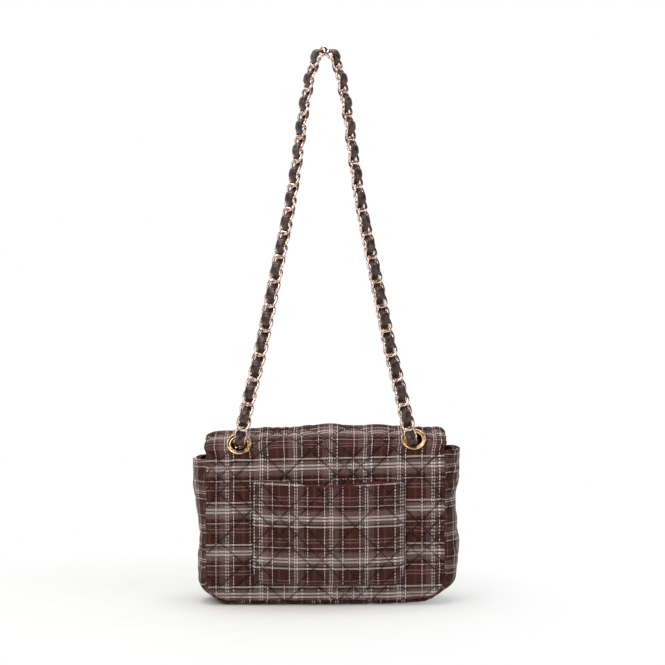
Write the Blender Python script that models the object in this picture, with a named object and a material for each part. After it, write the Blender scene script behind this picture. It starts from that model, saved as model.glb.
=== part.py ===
"""Quilted flap bag with a chain strap laced with leather.

Metres, +Z up. The origin is the centre of the flat base. The back of the bag, with its slip
pocket and eyelets, faces -Y, and the flap closes over the front at +Y. One arch joins back and
front: the cloth goes straight up the back, over a half round top and down the front as the flap.
"""

import math

import bmesh
import bpy
from mathutils import Matrix, Vector

# Bag
PANEL_WIDTH = 0.210
HALF_DEPTH = 0.0375
ARCH_Z = 0.1225
CORNER_R = 0.018
GUSSET_TOP_Z = 0.133
FRONT_TOP_Z = 0.130

# Layers of the walls
CLOTH = 0.0040
LINING = 0.0010
PLY_GAP = 0.0003
SEAM_GAP = 0.0003
FLAP_STANDOFF = 0.0040
FLAP_LINING_INSET = 0.0025

# Gusset, whose strip swells outward between its quilting lines
GUSSET_SWELL = 0.0098
GUSSET_RIPPLE = 0.0018
GUSSET_RIPPLE_LENGTH = 0.062
GUSSET_ROWS = 8
GUSSET_COLUMNS = 6
CORNER_STEPS = 5

# Base
BOARD_THICKNESS = 0.0015
BOARD_INSET = 0.0015

# Flap
FLAP_HINGE_ANGLE = math.radians(60)
FLAP_FOLD_ANGLE = math.radians(135)
FLAP_EDGE_Z = 0.048
FLAP_CORNER_R = 0.025
ARCH_STEP = math.radians(9)

# Slip pocket on the back
POCKET_WIDTH = 0.134
POCKET_TOP_Z = 0.1065
POCKET_BOTTOM_Z = 0.0165
POCKET_OFFSET_X = 0.0025
POCKET_CORNER_R = 0.015
POCKET_SAG = 0.0045
POCKET_ROOM = 0.0048
POCKET_CLOTH = 0.0028
POCKET_LINING = 0.0008
POCKET_LINING_DROP = 0.0006
POCKET_CHAMFER = 0.0022
POCKET_MOUTH_STEPS = 8

# Eyelets
EYELET_INSET = 0.028
EYELET_ANGLE = math.radians(33)
EYELET_HOLE_R = 0.00725
EYELET_FLANGE_R = 0.0110
EYELET_WALL = 0.00085
EYELET_FLANGE_T = 0.0005
EYELET_DOME = 0.0020
WASHER_T = 0.0010
WASHER_REACH = 0.0022
EYELET_SIDES = 20

# Snap under the flap
SNAP_Z = 0.068
SNAP_SOCKET_R = 0.0080
SNAP_SOCKET_T = 0.0018
SNAP_WELL_R = 0.0036
SNAP_WELL_DEPTH = 0.0014
SNAP_STUD_R = 0.0075
SNAP_STUD_T = 0.0013
SNAP_BOSS_R = 0.0022
SNAP_BOSS_T = 0.0011
SNAP_STEM_R = 0.0015
SNAP_STEM_LENGTH = 0.0030
SNAP_SIDES = 16

# Chain
LINK_PITCH = 0.0105
LINK_REACH = 0.0009
LINK_HALF_WIDTH = 0.0047
LINK_TWIST = 0.0008
WIRE_R = 0.00105
LINK_POINTS = 8
WIRE_SIDES = 4
LINK_END_GAP = 0.0004

# Lace woven through the chain
LACE_THICKNESS = 0.0015
LACE_SIDE_GAP = 0.0007
LACE_RISE = 0.0040
LACE_RAMP = 0.0029
LACE_END_GAP = 0.0005

# Strap: it starts nearer the middle than its eyelet, and narrows up to the point it hangs from.
# Its route gives x as a share of the start's x, and height as a share of the climb to its last
# point, from which it rounds over to the other side.
STRAP_START_INSET = 0.0038
STRAP_TOP_Z = 0.490
STRAP_ROUTE = (
    (0.926, 0.076),
    (0.787, 0.201),
    (0.669, 0.330),
    (0.553, 0.456),
    (0.437, 0.581),
    (0.346, 0.707),
    (0.268, 0.835),
    (0.196, 0.922),
    (0.142, 0.964),
    (0.0615, 1.0),
)
STRAP_LEAN = math.radians(1.2)
STRAP_FOOT_TURN = math.radians(20)
STRAP_FOOT_END = 0.07
STRAP_TOP_TURN = math.radians(70)
STRAP_TURN_START = 0.2
STRAP_TURN_END = 0.95
LOWER_LINKS = 6
MIDDLE_LINKS = 8
ROUTE_STEPS = 12

# Chain ends inside the bag
TAIL_LINKS = 5
TAIL_TILT = math.radians(45)
TAIL_BEND_R = 0.018
TAIL_STRAIGHT_LENGTH = 0.008
ARC_STEPS = 8

# Anchors of the chain ends
RING_WIRE_R = 0.0010
RING_POINTS = 18
RING_WIRE_SIDES = 5
TAB_WIDTH = 0.0055
TAB_THICKNESS = 0.0016
TAB_LOOP_R = 0.0026
TAB_FOOT = 0.0042
TAB_HALF_LENGTH = 0.0100
TAB_LOOP_STEPS = 8
RIVET_HEAD_R = 0.0022
RIVET_HEAD_T = 0.0010
RIVET_STEM_R = 0.0010
RIVET_SIDES = 10

# Cuts
HOLE_CLEARANCE = 0.0003
CUT_SIDES = 24

# Radii of the layers from the middle plane of the arch
LINING_R = HALF_DEPTH - CLOTH - PLY_GAP
INSIDE_R = LINING_R - LINING
FRONT_R = INSIDE_R - FLAP_STANDOFF
FRONT_LINING_R = FRONT_R - CLOTH - PLY_GAP
FRONT_INSIDE_R = FRONT_LINING_R - LINING
HALF_WIDTH = PANEL_WIDTH / 2
EYELET_X = HALF_WIDTH - EYELET_INSET
LINING_INSET = CLOTH + PLY_GAP + LINING + PLY_GAP
ARCH_LENGTH = math.pi * HALF_DEPTH

COLOURS = {
    "quilted_tartan": ((0.13, 0.08, 0.07), 0.9, 0.0),
    "wine_lining": ((0.16, 0.02, 0.03), 0.75, 0.0),
    "brown_leather": ((0.05, 0.025, 0.018), 0.5, 0.0),
    "rose_gold": ((0.83, 0.62, 0.48), 0.25, 1.0),
    "yellow_gold": ((0.83, 0.6, 0.33), 0.25, 1.0),
    "board": ((0.25, 0.2, 0.15), 0.9, 0.0),
}


def clear_scene():
    for thing in list(bpy.data.objects):
        bpy.data.objects.remove(thing, do_unlink=True)


def material(name):
    found = bpy.data.materials.get(name)
    if found:
        return found
    made = bpy.data.materials.new(name)
    made.use_nodes = True
    colour, roughness, metallic = COLOURS[name]
    shader = made.node_tree.nodes["Principled BSDF"]
    shader.inputs["Base Color"].default_value = (*colour, 1.0)
    shader.inputs["Roughness"].default_value = roughness
    shader.inputs["Metallic"].default_value = metallic
    return made


def add_piece(name, bm, finish, smooth=False):
    """Turns a closed bmesh into a named object with its finish."""
    bmesh.ops.recalc_face_normals(bm, faces=bm.faces)
    mesh = bpy.data.meshes.new(name)
    bm.to_mesh(mesh)
    bm.free()
    mesh.materials.append(material(finish))
    if smooth:
        mesh.shade_smooth()
        mesh.set_sharp_from_angle(angle=math.radians(35))
    piece = bpy.data.objects.new(name, mesh)
    bpy.context.scene.collection.objects.link(piece)
    return piece


def hide_tool(piece):
    piece.hide_render = True
    piece.display_type = "WIRE"


def use_tool(piece, tool, operation):
    """Cuts a piece with a tool, or joins the tool to it."""
    hide_tool(tool)
    step = piece.modifiers.new(tool.name, "BOOLEAN")
    step.operation = operation
    step.solver = "EXACT"
    step.object = tool


def add_joint(name, y, z, parent=None):
    """An empty on a joint's axis, which runs along X."""
    joint = bpy.data.objects.new(name, None)
    joint.empty_display_size = 0.02
    bpy.context.scene.collection.objects.link(joint)
    joint.location = (0.0, y, z)
    if parent:
        joint.parent = parent
        joint.matrix_parent_inverse = Matrix.Translation(-joint_place(parent))
    return joint


def joint_place(joint):
    """Where an empty stands; its parent's move is taken out by its parent inverse."""
    return Vector(joint.location)


def hang_on(joint, pieces):
    for piece in pieces:
        piece.parent = joint
        piece.matrix_parent_inverse = Matrix.Translation(-joint_place(joint))


def slab(outer, inner):
    """A closed solid between two grids of points, each given as rows."""
    bm = bmesh.new()
    rows, columns = len(outer), len(outer[0])
    top = [[bm.verts.new(p) for p in row] for row in outer]
    low = [[bm.verts.new(p) for p in row] for row in inner]
    for r in range(rows - 1):
        for c in range(columns - 1):
            bm.faces.new((top[r][c], top[r][c + 1], top[r + 1][c + 1], top[r + 1][c]))
            bm.faces.new((low[r][c], low[r + 1][c], low[r + 1][c + 1], low[r][c + 1]))
    for r in range(rows - 1):
        for c in (0, columns - 1):
            bm.faces.new((top[r][c], top[r + 1][c], low[r + 1][c], low[r][c]))
    for c in range(columns - 1):
        for r in (0, rows - 1):
            bm.faces.new((top[r][c], top[r][c + 1], low[r][c + 1], low[r][c]))
    return bm


def stack(rings):
    """A closed solid through rings of equal count, with flat ends."""
    bm = bmesh.new()
    made = [[bm.verts.new(p) for p in ring] for ring in rings]
    count = len(made[0])
    for low, high in zip(made, made[1:]):
        for i in range(count):
            j = (i + 1) % count
            bm.faces.new((low[i], low[j], high[j], high[i]))
    bm.faces.new(made[0])
    bm.faces.new(made[-1])
    return bm


def turned(profile, sides, place, solid):
    """Turns (radius, height) points about the local Z axis.

    A solid profile starts and ends on the axis. Otherwise the profile is a closed loop.
    """
    bm = bmesh.new()
    ends = []
    if solid:
        ends = [bm.verts.new((0, 0, profile[0][1])), bm.verts.new((0, 0, profile[-1][1]))]
        profile = profile[1:-1]
    rings = []
    for i in range(sides):
        turn = 2 * math.pi * i / sides
        rings.append([bm.verts.new((r * math.cos(turn), r * math.sin(turn), h)) for r, h in profile])
    count = len(profile)
    for i in range(sides):
        here, there = rings[i], rings[(i + 1) % sides]
        for k in range(count - 1 if solid else count):
            m = (k + 1) % count
            bm.faces.new((here[k], there[k], there[m], here[m]))
        if solid:
            bm.faces.new((ends[0], there[0], here[0]))
            bm.faces.new((ends[1], here[-1], there[-1]))
    bmesh.ops.transform(bm, matrix=place, verts=bm.verts)
    return bm


def cylinder_cutter(name, radius, low, high, place):
    bm = turned([(0, low), (radius, low), (radius, high), (0, high)], CUT_SIDES, place, True)
    return add_piece(name, bm, "board")


def arch_point(x, radius, station):
    """A point on a layer of the cloth.

    The station runs up the back from the base, over the arch and down the front, and is
    measured on the outermost layer.
    """
    if station <= ARCH_Z:
        return Vector((x, -radius, station))
    if station < ARCH_Z + ARCH_LENGTH:
        turn = (station - ARCH_Z) / HALF_DEPTH
        return Vector((x, -radius * math.cos(turn), ARCH_Z + radius * math.sin(turn)))
    return Vector((x, radius, 2 * ARCH_Z + ARCH_LENGTH - station))


def arch_station(turn):
    return ARCH_Z + turn * HALF_DEPTH


def front_station(z, radius):
    """The station at height z on the front of a layer."""
    if z <= ARCH_Z:
        return 2 * ARCH_Z + ARCH_LENGTH - z
    return arch_station(math.pi - math.asin((z - ARCH_Z) / radius))


def arch_stations(first, last):
    """Stations from first to last, with the round part cut into equal steps."""
    start = min(max(first, ARCH_Z), ARCH_Z + ARCH_LENGTH)
    end = max(min(last, ARCH_Z + ARCH_LENGTH), ARCH_Z)
    steps = max(1, round((end - start) / HALF_DEPTH / ARCH_STEP))
    found = [first] if first < start else []
    found += [start + (end - start) * i / steps for i in range(steps + 1)]
    return found + ([last] if last > end else [])


def corner_rows(edge, inward, half_width, radius):
    """(station, half width) rows of a rounded lower edge, from the edge inward."""
    rows = []
    for i in range(CORNER_STEPS + 1):
        turn = math.pi / 2 * i / CORNER_STEPS
        along = radius * (1 - math.cos(turn))
        rows.append((edge + inward * along, half_width - radius * (1 - math.sin(turn))))
    return rows


def cloth_layer(name, outer_r, thickness, rows, finish):
    """A layer of the walls, from (station, half width) rows."""
    grids = []
    for radius in (outer_r, outer_r - thickness):
        grids.append([[arch_point(-w, radius, s), arch_point(w, radius, s)] for s, w in rows])
    return add_piece(name, slab(*grids), finish)


def back_rows(half_width, bottom, corner_r, last):
    rows = corner_rows(bottom, 1, half_width, corner_r)
    return rows + [(s, half_width) for s in arch_stations(ARCH_Z, last)]


def front_rows(half_width, bottom, corner_r, top, radius):
    edge = front_station(bottom, radius)
    rows = corner_rows(edge, -1, half_width, corner_r)
    stations = arch_stations(front_station(top, radius), ARCH_Z + ARCH_LENGTH)
    return rows + [(s, half_width) for s in reversed(stations)]


def lining_corner_r():
    return CORNER_R - LINING_INSET


def build_walls():
    """Back and front panels with their linings."""
    hinge = arch_station(FLAP_HINGE_ANGLE) - SEAM_GAP / 2
    lining_half = HALF_WIDTH - LINING_INSET
    back = cloth_layer(
        "back_panel", HALF_DEPTH, CLOTH, back_rows(HALF_WIDTH, 0, CORNER_R, hinge), "quilted_tartan"
    )
    back_lining = cloth_layer(
        "back_lining",
        LINING_R,
        LINING,
        back_rows(lining_half, LINING_INSET, lining_corner_r(), hinge),
        "wine_lining",
    )
    front = cloth_layer(
        "front_panel",
        FRONT_R,
        CLOTH,
        front_rows(HALF_WIDTH, 0, CORNER_R, FRONT_TOP_Z, FRONT_R),
        "quilted_tartan",
    )
    cloth_layer(
        "front_lining",
        FRONT_LINING_R,
        LINING,
        front_rows(lining_half, LINING_INSET, lining_corner_r(), FRONT_TOP_Z, FRONT_LINING_R),
        "wine_lining",
    )
    return back, back_lining, front


def swell_at(z):
    """How far the gusset swells outward at height z."""
    return GUSSET_SWELL + GUSSET_RIPPLE * math.cos(2 * math.pi * (z - ARCH_Z) / GUSSET_RIPPLE_LENGTH)


def edge_y(radius, z):
    """Where a gusset's edge meets a wall layer of this radius, which leans in above the arch."""
    rise = max(0.0, z - ARCH_Z)
    return math.sqrt(radius * radius - rise * rise)


def gusset_side(name, side, depth, thickness, back_r, front_r, finish):
    """One side of the gusset with its lower corner, or the lining that lies inside it.

    Depth is how far the outer face lies inside the seam line.
    """
    path = []
    for i in range(GUSSET_ROWS + 1):
        z = GUSSET_TOP_Z + (CORNER_R - GUSSET_TOP_Z) * i / GUSSET_ROWS
        path.append((HALF_WIDTH, z, 0.0))
    for i in range(1, CORNER_STEPS + 1):
        turn = math.pi / 2 * i / CORNER_STEPS
        x = HALF_WIDTH - CORNER_R * (1 - math.cos(turn))
        path.append((x, CORNER_R * (1 - math.sin(turn)), turn))
    seam_back, seam_front = LINING_R, FRONT_LINING_R
    grids = []
    for inset in (depth, depth + thickness):
        rows = []
        for x, z, turn in path:
            low, high = -edge_y(back_r, z), edge_y(front_r, z)
            row = []
            for c in range(GUSSET_COLUMNS + 1):
                y = low + (high - low) * c / GUSSET_COLUMNS
                across = (y + edge_y(seam_back, z)) / (edge_y(seam_back, z) + edge_y(seam_front, z))
                swell = swell_at(z) * math.sin(math.pi * across) * math.cos(turn) ** 3
                out = swell - inset
                row.append(Vector((side * (x + out * math.cos(turn)), y, z - out * math.sin(turn))))
            rows.append(row)
        grids.append(rows)
    return add_piece(name, slab(*grids), finish, smooth=True)


def box(name, low, high, finish):
    bm = bmesh.new()
    place = Matrix.Translation((Vector(low) + Vector(high)) / 2)
    size = Vector(high) - Vector(low)
    bmesh.ops.create_cube(bm, size=1.0, matrix=place @ Matrix.Diagonal((*size, 1.0)))
    return add_piece(name, bm, finish)


def build_gusset():
    for side, word in ((-1, "left"), (1, "right")):
        gusset_side(f"{word}_gusset", side, 0, CLOTH, LINING_R, FRONT_LINING_R, "quilted_tartan")
        gusset_side(
            f"{word}_gusset_lining",
            side,
            CLOTH + PLY_GAP,
            LINING,
            INSIDE_R - PLY_GAP,
            FRONT_INSIDE_R - PLY_GAP,
            "wine_lining",
        )
    half = HALF_WIDTH - CORNER_R - SEAM_GAP
    box("base_gusset", (-half, -LINING_R, 0), (half, FRONT_LINING_R, CLOTH), "quilted_tartan")
    board_z = CLOTH + PLY_GAP
    back, front = INSIDE_R - PLY_GAP, FRONT_INSIDE_R - PLY_GAP
    box(
        "base_board",
        (-half, -(back - BOARD_INSET), board_z),
        (half, front - BOARD_INSET, board_z + BOARD_THICKNESS),
        "board",
    )
    lining_z = board_z + BOARD_THICKNESS + PLY_GAP
    box("base_lining", (-half, -back, lining_z), (half, front, lining_z + LINING), "wine_lining")


def build_flap():
    """The flap in two parts, which fold at the front edge of the top."""
    hinge = arch_station(FLAP_HINGE_ANGLE) + SEAM_GAP / 2
    fold_top = arch_station(FLAP_FOLD_ANGLE) - SEAM_GAP / 2
    fold_front = arch_station(FLAP_FOLD_ANGLE) + SEAM_GAP / 2
    edge = front_station(FLAP_EDGE_Z, HALF_DEPTH)
    made = {}
    layers = (
        ("panel", HALF_DEPTH, CLOTH, 0.0, "quilted_tartan"),
        ("lining", LINING_R, LINING, FLAP_LINING_INSET, "wine_lining"),
    )
    for layer, radius, thickness, inset, finish in layers:
        half = HALF_WIDTH - inset
        top_rows = [(s, half) for s in arch_stations(hinge, fold_top)]
        top = cloth_layer(f"flap_top_{layer}", radius, thickness, top_rows, finish)
        front_part = [(s, half) for s in arch_stations(fold_front, ARCH_Z + ARCH_LENGTH)]
        front_part += reversed(corner_rows(edge - inset, -1, half, FLAP_CORNER_R - inset))
        front = cloth_layer(f"flap_front_{layer}", radius, thickness, front_part, finish)
        made[layer] = (top, front)
    return made


def pocket_ring(y, inset, top_z, extra_top=0.0):
    """The pocket's outline at depth y: rounded below, and sagging along its mouth."""
    half = POCKET_WIDTH / 2 - inset
    radius = POCKET_CORNER_R - inset
    low = POCKET_BOTTOM_Z + inset
    ring = []
    for side in (-1, 1):
        corner = []
        for i in range(CORNER_STEPS + 1):
            turn = math.pi / 2 * i / CORNER_STEPS
            x = half - radius * (1 - math.cos(turn))
            corner.append((side * x, low + radius * (1 - math.sin(turn))))
        ring += corner if side < 0 else corner[::-1]
    for i in range(POCKET_MOUTH_STEPS + 1):
        along = 1 - 2 * i / POCKET_MOUTH_STEPS
        sag = POCKET_SAG * (1 - along * along)
        ring.append((half * along, top_z - sag + extra_top))
    return [Vector((x + POCKET_OFFSET_X, y, z)) for x, z in ring]


def build_pocket():
    """A shallow tray sewn to the back panel along its sides and lower edge."""
    seam_y = -(HALF_DEPTH + PLY_GAP)
    lining_y = -(HALF_DEPTH + POCKET_ROOM)
    cloth_y = lining_y - POCKET_LINING - PLY_GAP
    face_y = cloth_y - POCKET_CLOTH
    chamfer = POCKET_CHAMFER
    pocket = add_piece(
        "back_pocket",
        stack(
            [
                pocket_ring(seam_y, 0, POCKET_TOP_Z),
                pocket_ring(face_y + chamfer, 0, POCKET_TOP_Z),
                pocket_ring(face_y, chamfer, POCKET_TOP_Z),
            ]
        ),
        "quilted_tartan",
    )
    above = POCKET_TOP_Z - POCKET_BOTTOM_Z
    hollow = add_piece(
        "pocket_hollow",
        stack(
            [
                pocket_ring(seam_y + CLOTH, POCKET_CLOTH, POCKET_TOP_Z, above),
                pocket_ring(cloth_y, POCKET_CLOTH, POCKET_TOP_Z, above),
            ]
        ),
        "board",
    )
    use_tool(pocket, hollow, "DIFFERENCE")
    inset = POCKET_CLOTH + PLY_GAP
    top = POCKET_TOP_Z - POCKET_LINING_DROP
    add_piece(
        "back_pocket_lining",
        stack([pocket_ring(lining_y, inset, top), pocket_ring(lining_y - POCKET_LINING, inset, top)]),
        "wine_lining",
    )


def eyelet_place(side):
    """The frame of an eyelet: its origin on the outer cloth, its Z axis pointing outward."""
    out = Vector((0, -math.cos(EYELET_ANGLE), math.sin(EYELET_ANGLE)))
    across = Vector((1, 0, 0))
    place = Matrix((across, out.cross(across), out)).transposed().to_4x4()
    place.translation = arch_point(side * EYELET_X, HALF_DEPTH, arch_station(EYELET_ANGLE))
    return place


def build_eyelets(back, back_lining):
    """Each eyelet is a domed flange on a flat seat, with a barrel and a washer inside."""
    barrel_r = EYELET_HOLE_R + EYELET_WALL
    hole_r = barrel_r + HOLE_CLEARANCE
    seat_r = EYELET_FLANGE_R + HOLE_CLEARANCE
    seat = -(HALF_DEPTH - math.sqrt(HALF_DEPTH**2 - seat_r**2))
    under = seat + PLY_GAP
    rim = under + EYELET_FLANGE_T
    washer_r = hole_r + WASHER_REACH
    washer_top = -(HALF_DEPTH - math.sqrt(INSIDE_R**2 - washer_r**2)) - PLY_GAP
    low = washer_top - WASHER_T
    crown = (EYELET_HOLE_R + EYELET_FLANGE_R) / 2
    profile = [
        (EYELET_HOLE_R, low),
        (barrel_r, low),
        (barrel_r, under),
        (EYELET_FLANGE_R, under),
        (EYELET_FLANGE_R, rim),
        ((crown + EYELET_FLANGE_R) / 2, rim + 0.7 * (EYELET_DOME - EYELET_FLANGE_T)),
        (crown, under + EYELET_DOME),
        ((crown + EYELET_HOLE_R) / 2, rim + 0.7 * (EYELET_DOME - EYELET_FLANGE_T)),
        (EYELET_HOLE_R, rim),
    ]
    washer = [(hole_r, low), (washer_r, low), (washer_r, washer_top), (hole_r, washer_top)]
    reach = 2 * HALF_DEPTH
    for side, word in ((-1, "left"), (1, "right")):
        place = eyelet_place(side)
        add_piece(f"{word}_eyelet", turned(profile, EYELET_SIDES, place, False), "yellow_gold", True)
        washer_bm = turned(washer, EYELET_SIDES, place, False)
        add_piece(f"{word}_eyelet_washer", washer_bm, "yellow_gold")
        hole = cylinder_cutter(f"{word}_eyelet_hole", hole_r, low - CLOTH, -seat, place)
        recess = cylinder_cutter(f"{word}_eyelet_seat", seat_r, seat, reach, place)
        use_tool(back, hole, "DIFFERENCE")
        use_tool(back, recess, "DIFFERENCE")
        use_tool(back_lining, hole, "DIFFERENCE")


def along_y(x, y, z):
    """A frame whose Z axis points to the front of the bag."""
    return Matrix.Translation((x, y, z)) @ Matrix.Rotation(-math.pi / 2, 4, "X")


def build_snap(front, flap):
    """The magnetic snap: a socket on the front panel and a stud on the flap's lining."""
    socket_low = PLY_GAP
    socket_high = socket_low + SNAP_SOCKET_T
    place = along_y(0, FRONT_R, SNAP_Z)
    profile = [
        (0, -SNAP_STEM_LENGTH),
        (SNAP_STEM_R, -SNAP_STEM_LENGTH),
        (SNAP_STEM_R, socket_low),
        (SNAP_SOCKET_R, socket_low),
        (SNAP_SOCKET_R, socket_high),
        (SNAP_WELL_R, socket_high),
        (SNAP_WELL_R, socket_high - SNAP_WELL_DEPTH),
        (0, socket_high - SNAP_WELL_DEPTH),
    ]
    add_piece("snap_socket", turned(profile, SNAP_SIDES, place, True), "yellow_gold", True)
    hole_r = SNAP_STEM_R + HOLE_CLEARANCE
    cut = cylinder_cutter("snap_socket_hole", hole_r, -SNAP_STEM_LENGTH - PLY_GAP, CLOTH, place)
    use_tool(front, cut, "DIFFERENCE")
    place = along_y(0, INSIDE_R - PLY_GAP, SNAP_Z)
    stem = PLY_GAP + LINING + PLY_GAP + SNAP_STEM_LENGTH - CLOTH / 2
    profile = [
        (0, -SNAP_STUD_T - SNAP_BOSS_T),
        (SNAP_BOSS_R, -SNAP_STUD_T - SNAP_BOSS_T),
        (SNAP_BOSS_R, -SNAP_STUD_T),
        (SNAP_STUD_R, -SNAP_STUD_T),
        (SNAP_STUD_R, 0),
        (SNAP_STEM_R, 0),
        (SNAP_STEM_R, stem),
        (0, stem),
    ]
    stud = add_piece("snap_stud", turned(profile, SNAP_SIDES, place, True), "yellow_gold", True)
    cut = cylinder_cutter("snap_stud_hole", hole_r, -CLOTH, stem + PLY_GAP, place)
    use_tool(flap["panel"][1], cut, "DIFFERENCE")
    use_tool(flap["lining"][1], cut, "DIFFERENCE")
    return stud


class Track:
    """A route read by the distance along it, with a direction that its face looks in."""

    def __init__(self, points, facing):
        self.points = points
        self.facing = facing
        self.marks = [0.0]
        for here, there in zip(points, points[1:]):
            self.marks.append(self.marks[-1] + (there - here).length)

    @property
    def length(self):
        return self.marks[-1]

    def point(self, distance):
        k = 1
        while k < len(self.marks) - 1 and self.marks[k] < distance:
            k += 1
        share = (distance - self.marks[k - 1]) / (self.marks[k] - self.marks[k - 1])
        return self.points[k - 1].lerp(self.points[k], share)

    def frame(self, distance, span):
        """The point, and the along, across and outward directions, at a distance."""
        first = max(0.0, min(distance - span, self.length - 2 * span))
        last = min(self.length, max(distance + span, 2 * span))
        along = (self.point(last) - self.point(first)).normalized()
        here = self.point(distance)
        outward = self.facing(here, along)
        outward = (outward - along * outward.dot(along)).normalized()
        return here, along, outward.cross(along), outward


def smooth_route(points):
    """A Catmull-Rom curve through the points."""
    ends = [2 * points[0] - points[1], *points, 2 * points[-1] - points[-2]]
    curve = []
    for a, b, c, d in zip(ends, ends[1:], ends[2:], ends[3:]):
        for i in range(ROUTE_STEPS):
            t = i / ROUTE_STEPS
            bend = 2 * a - 5 * b + 4 * c - d
            curve.append(0.5 * (2 * b + (c - a) * t + bend * t**2 + (3 * b - a - 3 * c + d) * t**3))
    return curve + [points[-1]]


def strap_start():
    """Where the strap leaves the right chain end, just outside the eyelet's hole."""
    hole = arch_point(EYELET_X, HALF_DEPTH, arch_station(EYELET_ANGLE))
    out = TAIL_BEND_R * (1 - math.cos(TAIL_TILT))
    rise = TAIL_BEND_R * math.sin(TAIL_TILT)
    return Vector((EYELET_X - STRAP_START_INSET, hole.y - out, hole.z + rise))


def strap_point(start, width_share, climb_share):
    climb = (STRAP_TOP_Z - start.z) * climb_share
    return Vector((start.x * width_share, start.y + climb * math.tan(STRAP_LEAN), start.z + climb))


def eased(value):
    """Runs smoothly from 0 to 1 as the value does, and is held outside them."""
    value = min(max(value, 0.0), 1.0)
    return value * value * (3 - 2 * value)


def strap_track():
    """The strap faces back at its foot, a little outward above it, and outward at its top."""
    start = strap_start()
    right = [start] + [strap_point(start, *shares) for shares in STRAP_ROUTE]
    left = [Vector((-p.x, p.y, p.z)) for p in right]

    def facing(here, along):
        climbed = (here.z - start.z) / (STRAP_TOP_Z - start.z)
        turn = STRAP_FOOT_TURN * eased(climbed / STRAP_FOOT_END)
        rest = eased((climbed - STRAP_TURN_START) / (STRAP_TURN_END - STRAP_TURN_START))
        turn += (STRAP_TOP_TURN - STRAP_FOOT_TURN) * rest
        outward = along.cross(Vector((0, 1, 0))).normalized()
        return Vector((0, -math.cos(turn), 0)) + outward * math.sin(turn)

    return Track(smooth_route(left + right[::-1]), facing)


def run_length(count, pitch):
    """From the outermost wire to the outermost wire of a run of links, at their middles."""
    return count * pitch + 2 * LINK_REACH


def tail_track(side):
    """From the strap's first pivot in through the eyelet and down inside the bag."""
    start = strap_start()
    hole = arch_point(EYELET_X, HALF_DEPTH, arch_station(EYELET_ANGLE))
    flat = []
    for i in range(ARC_STEPS + 1):
        turn = TAIL_TILT * i / ARC_STEPS
        y = start.y + TAIL_BEND_R * (1 - math.cos(turn))
        x = start.x + (hole.x - start.x) * i / ARC_STEPS
        flat.append(Vector((x, y, start.z - TAIL_BEND_R * math.sin(turn))))
    inward = Vector((0, math.sin(TAIL_TILT), -math.cos(TAIL_TILT)))
    corner = flat[-1] + inward * TAIL_STRAIGHT_LENGTH
    for i in range(ARC_STEPS + 1):
        turn = TAIL_TILT * (1 - i / ARC_STEPS)
        y = corner.y + TAIL_BEND_R * (math.cos(turn) - math.cos(TAIL_TILT))
        z = corner.z - TAIL_BEND_R * (math.sin(TAIL_TILT) - math.sin(turn))
        flat.append(Vector((hole.x, y, z)))
    used = sum((there - here).length for here, there in zip(flat, flat[1:]))
    flat.append(flat[-1] - Vector((0, 0, run_length(TAIL_LINKS, LINK_PITCH) - used)))
    return Track(
        [Vector((side * p.x, p.y, p.z)) for p in flat],
        lambda here, along: along.cross(Vector((1, 0, 0))),
    )


def link_ring(bm, track, middle, half_length):
    """One curb link: an oval wire whose ends rise on one side and dip on the other."""
    _, along, across, outward = track.frame(middle, half_length)
    here = (track.point(middle - half_length) + track.point(middle + half_length)) / 2
    loops = []
    for i in range(LINK_POINTS):
        t = 2 * math.pi * (i + 0.5) / LINK_POINTS
        centre = here + along * (half_length * math.cos(t))
        centre += across * (LINK_HALF_WIDTH * math.sin(t))
        centre += outward * (LINK_TWIST * math.sin(2 * t))
        run = across * (LINK_HALF_WIDTH * math.cos(t)) - along * (half_length * math.sin(t))
        run += outward * (2 * LINK_TWIST * math.cos(2 * t))
        side = run.cross(outward).normalized()
        up = side.cross(run).normalized()
        loop = []
        for k in range(WIRE_SIDES):
            turn = 2 * math.pi * (k + 0.5) / WIRE_SIDES
            loop.append(bm.verts.new(centre + WIRE_R * (side * math.cos(turn) + up * math.sin(turn))))
        loops.append(loop)
    for i in range(LINK_POINTS):
        low, high = loops[i], loops[(i + 1) % LINK_POINTS]
        for k in range(WIRE_SIDES):
            m = (k + 1) % WIRE_SIDES
            bm.faces.new((low[k], low[m], high[m], high[k]))


def link_places(first, count, pitch):
    """The middles of the links of a run whose outermost wire stands at first."""
    return [first + LINK_REACH + pitch * (i + 0.5) for i in range(count)]


def chain_piece(name, track, places, pitch):
    """A run of links, each hooked in the next and touching it, so that the run is one body."""
    even, odd = bmesh.new(), bmesh.new()
    for i, middle in enumerate(places):
        link_ring(odd if i % 2 else even, track, middle, pitch / 2 + LINK_REACH)
    chain = add_piece(name, even, "rose_gold", True)
    use_tool(chain, add_piece(name + "_odd_links", odd, "rose_gold"), "UNION")
    return chain


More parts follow.
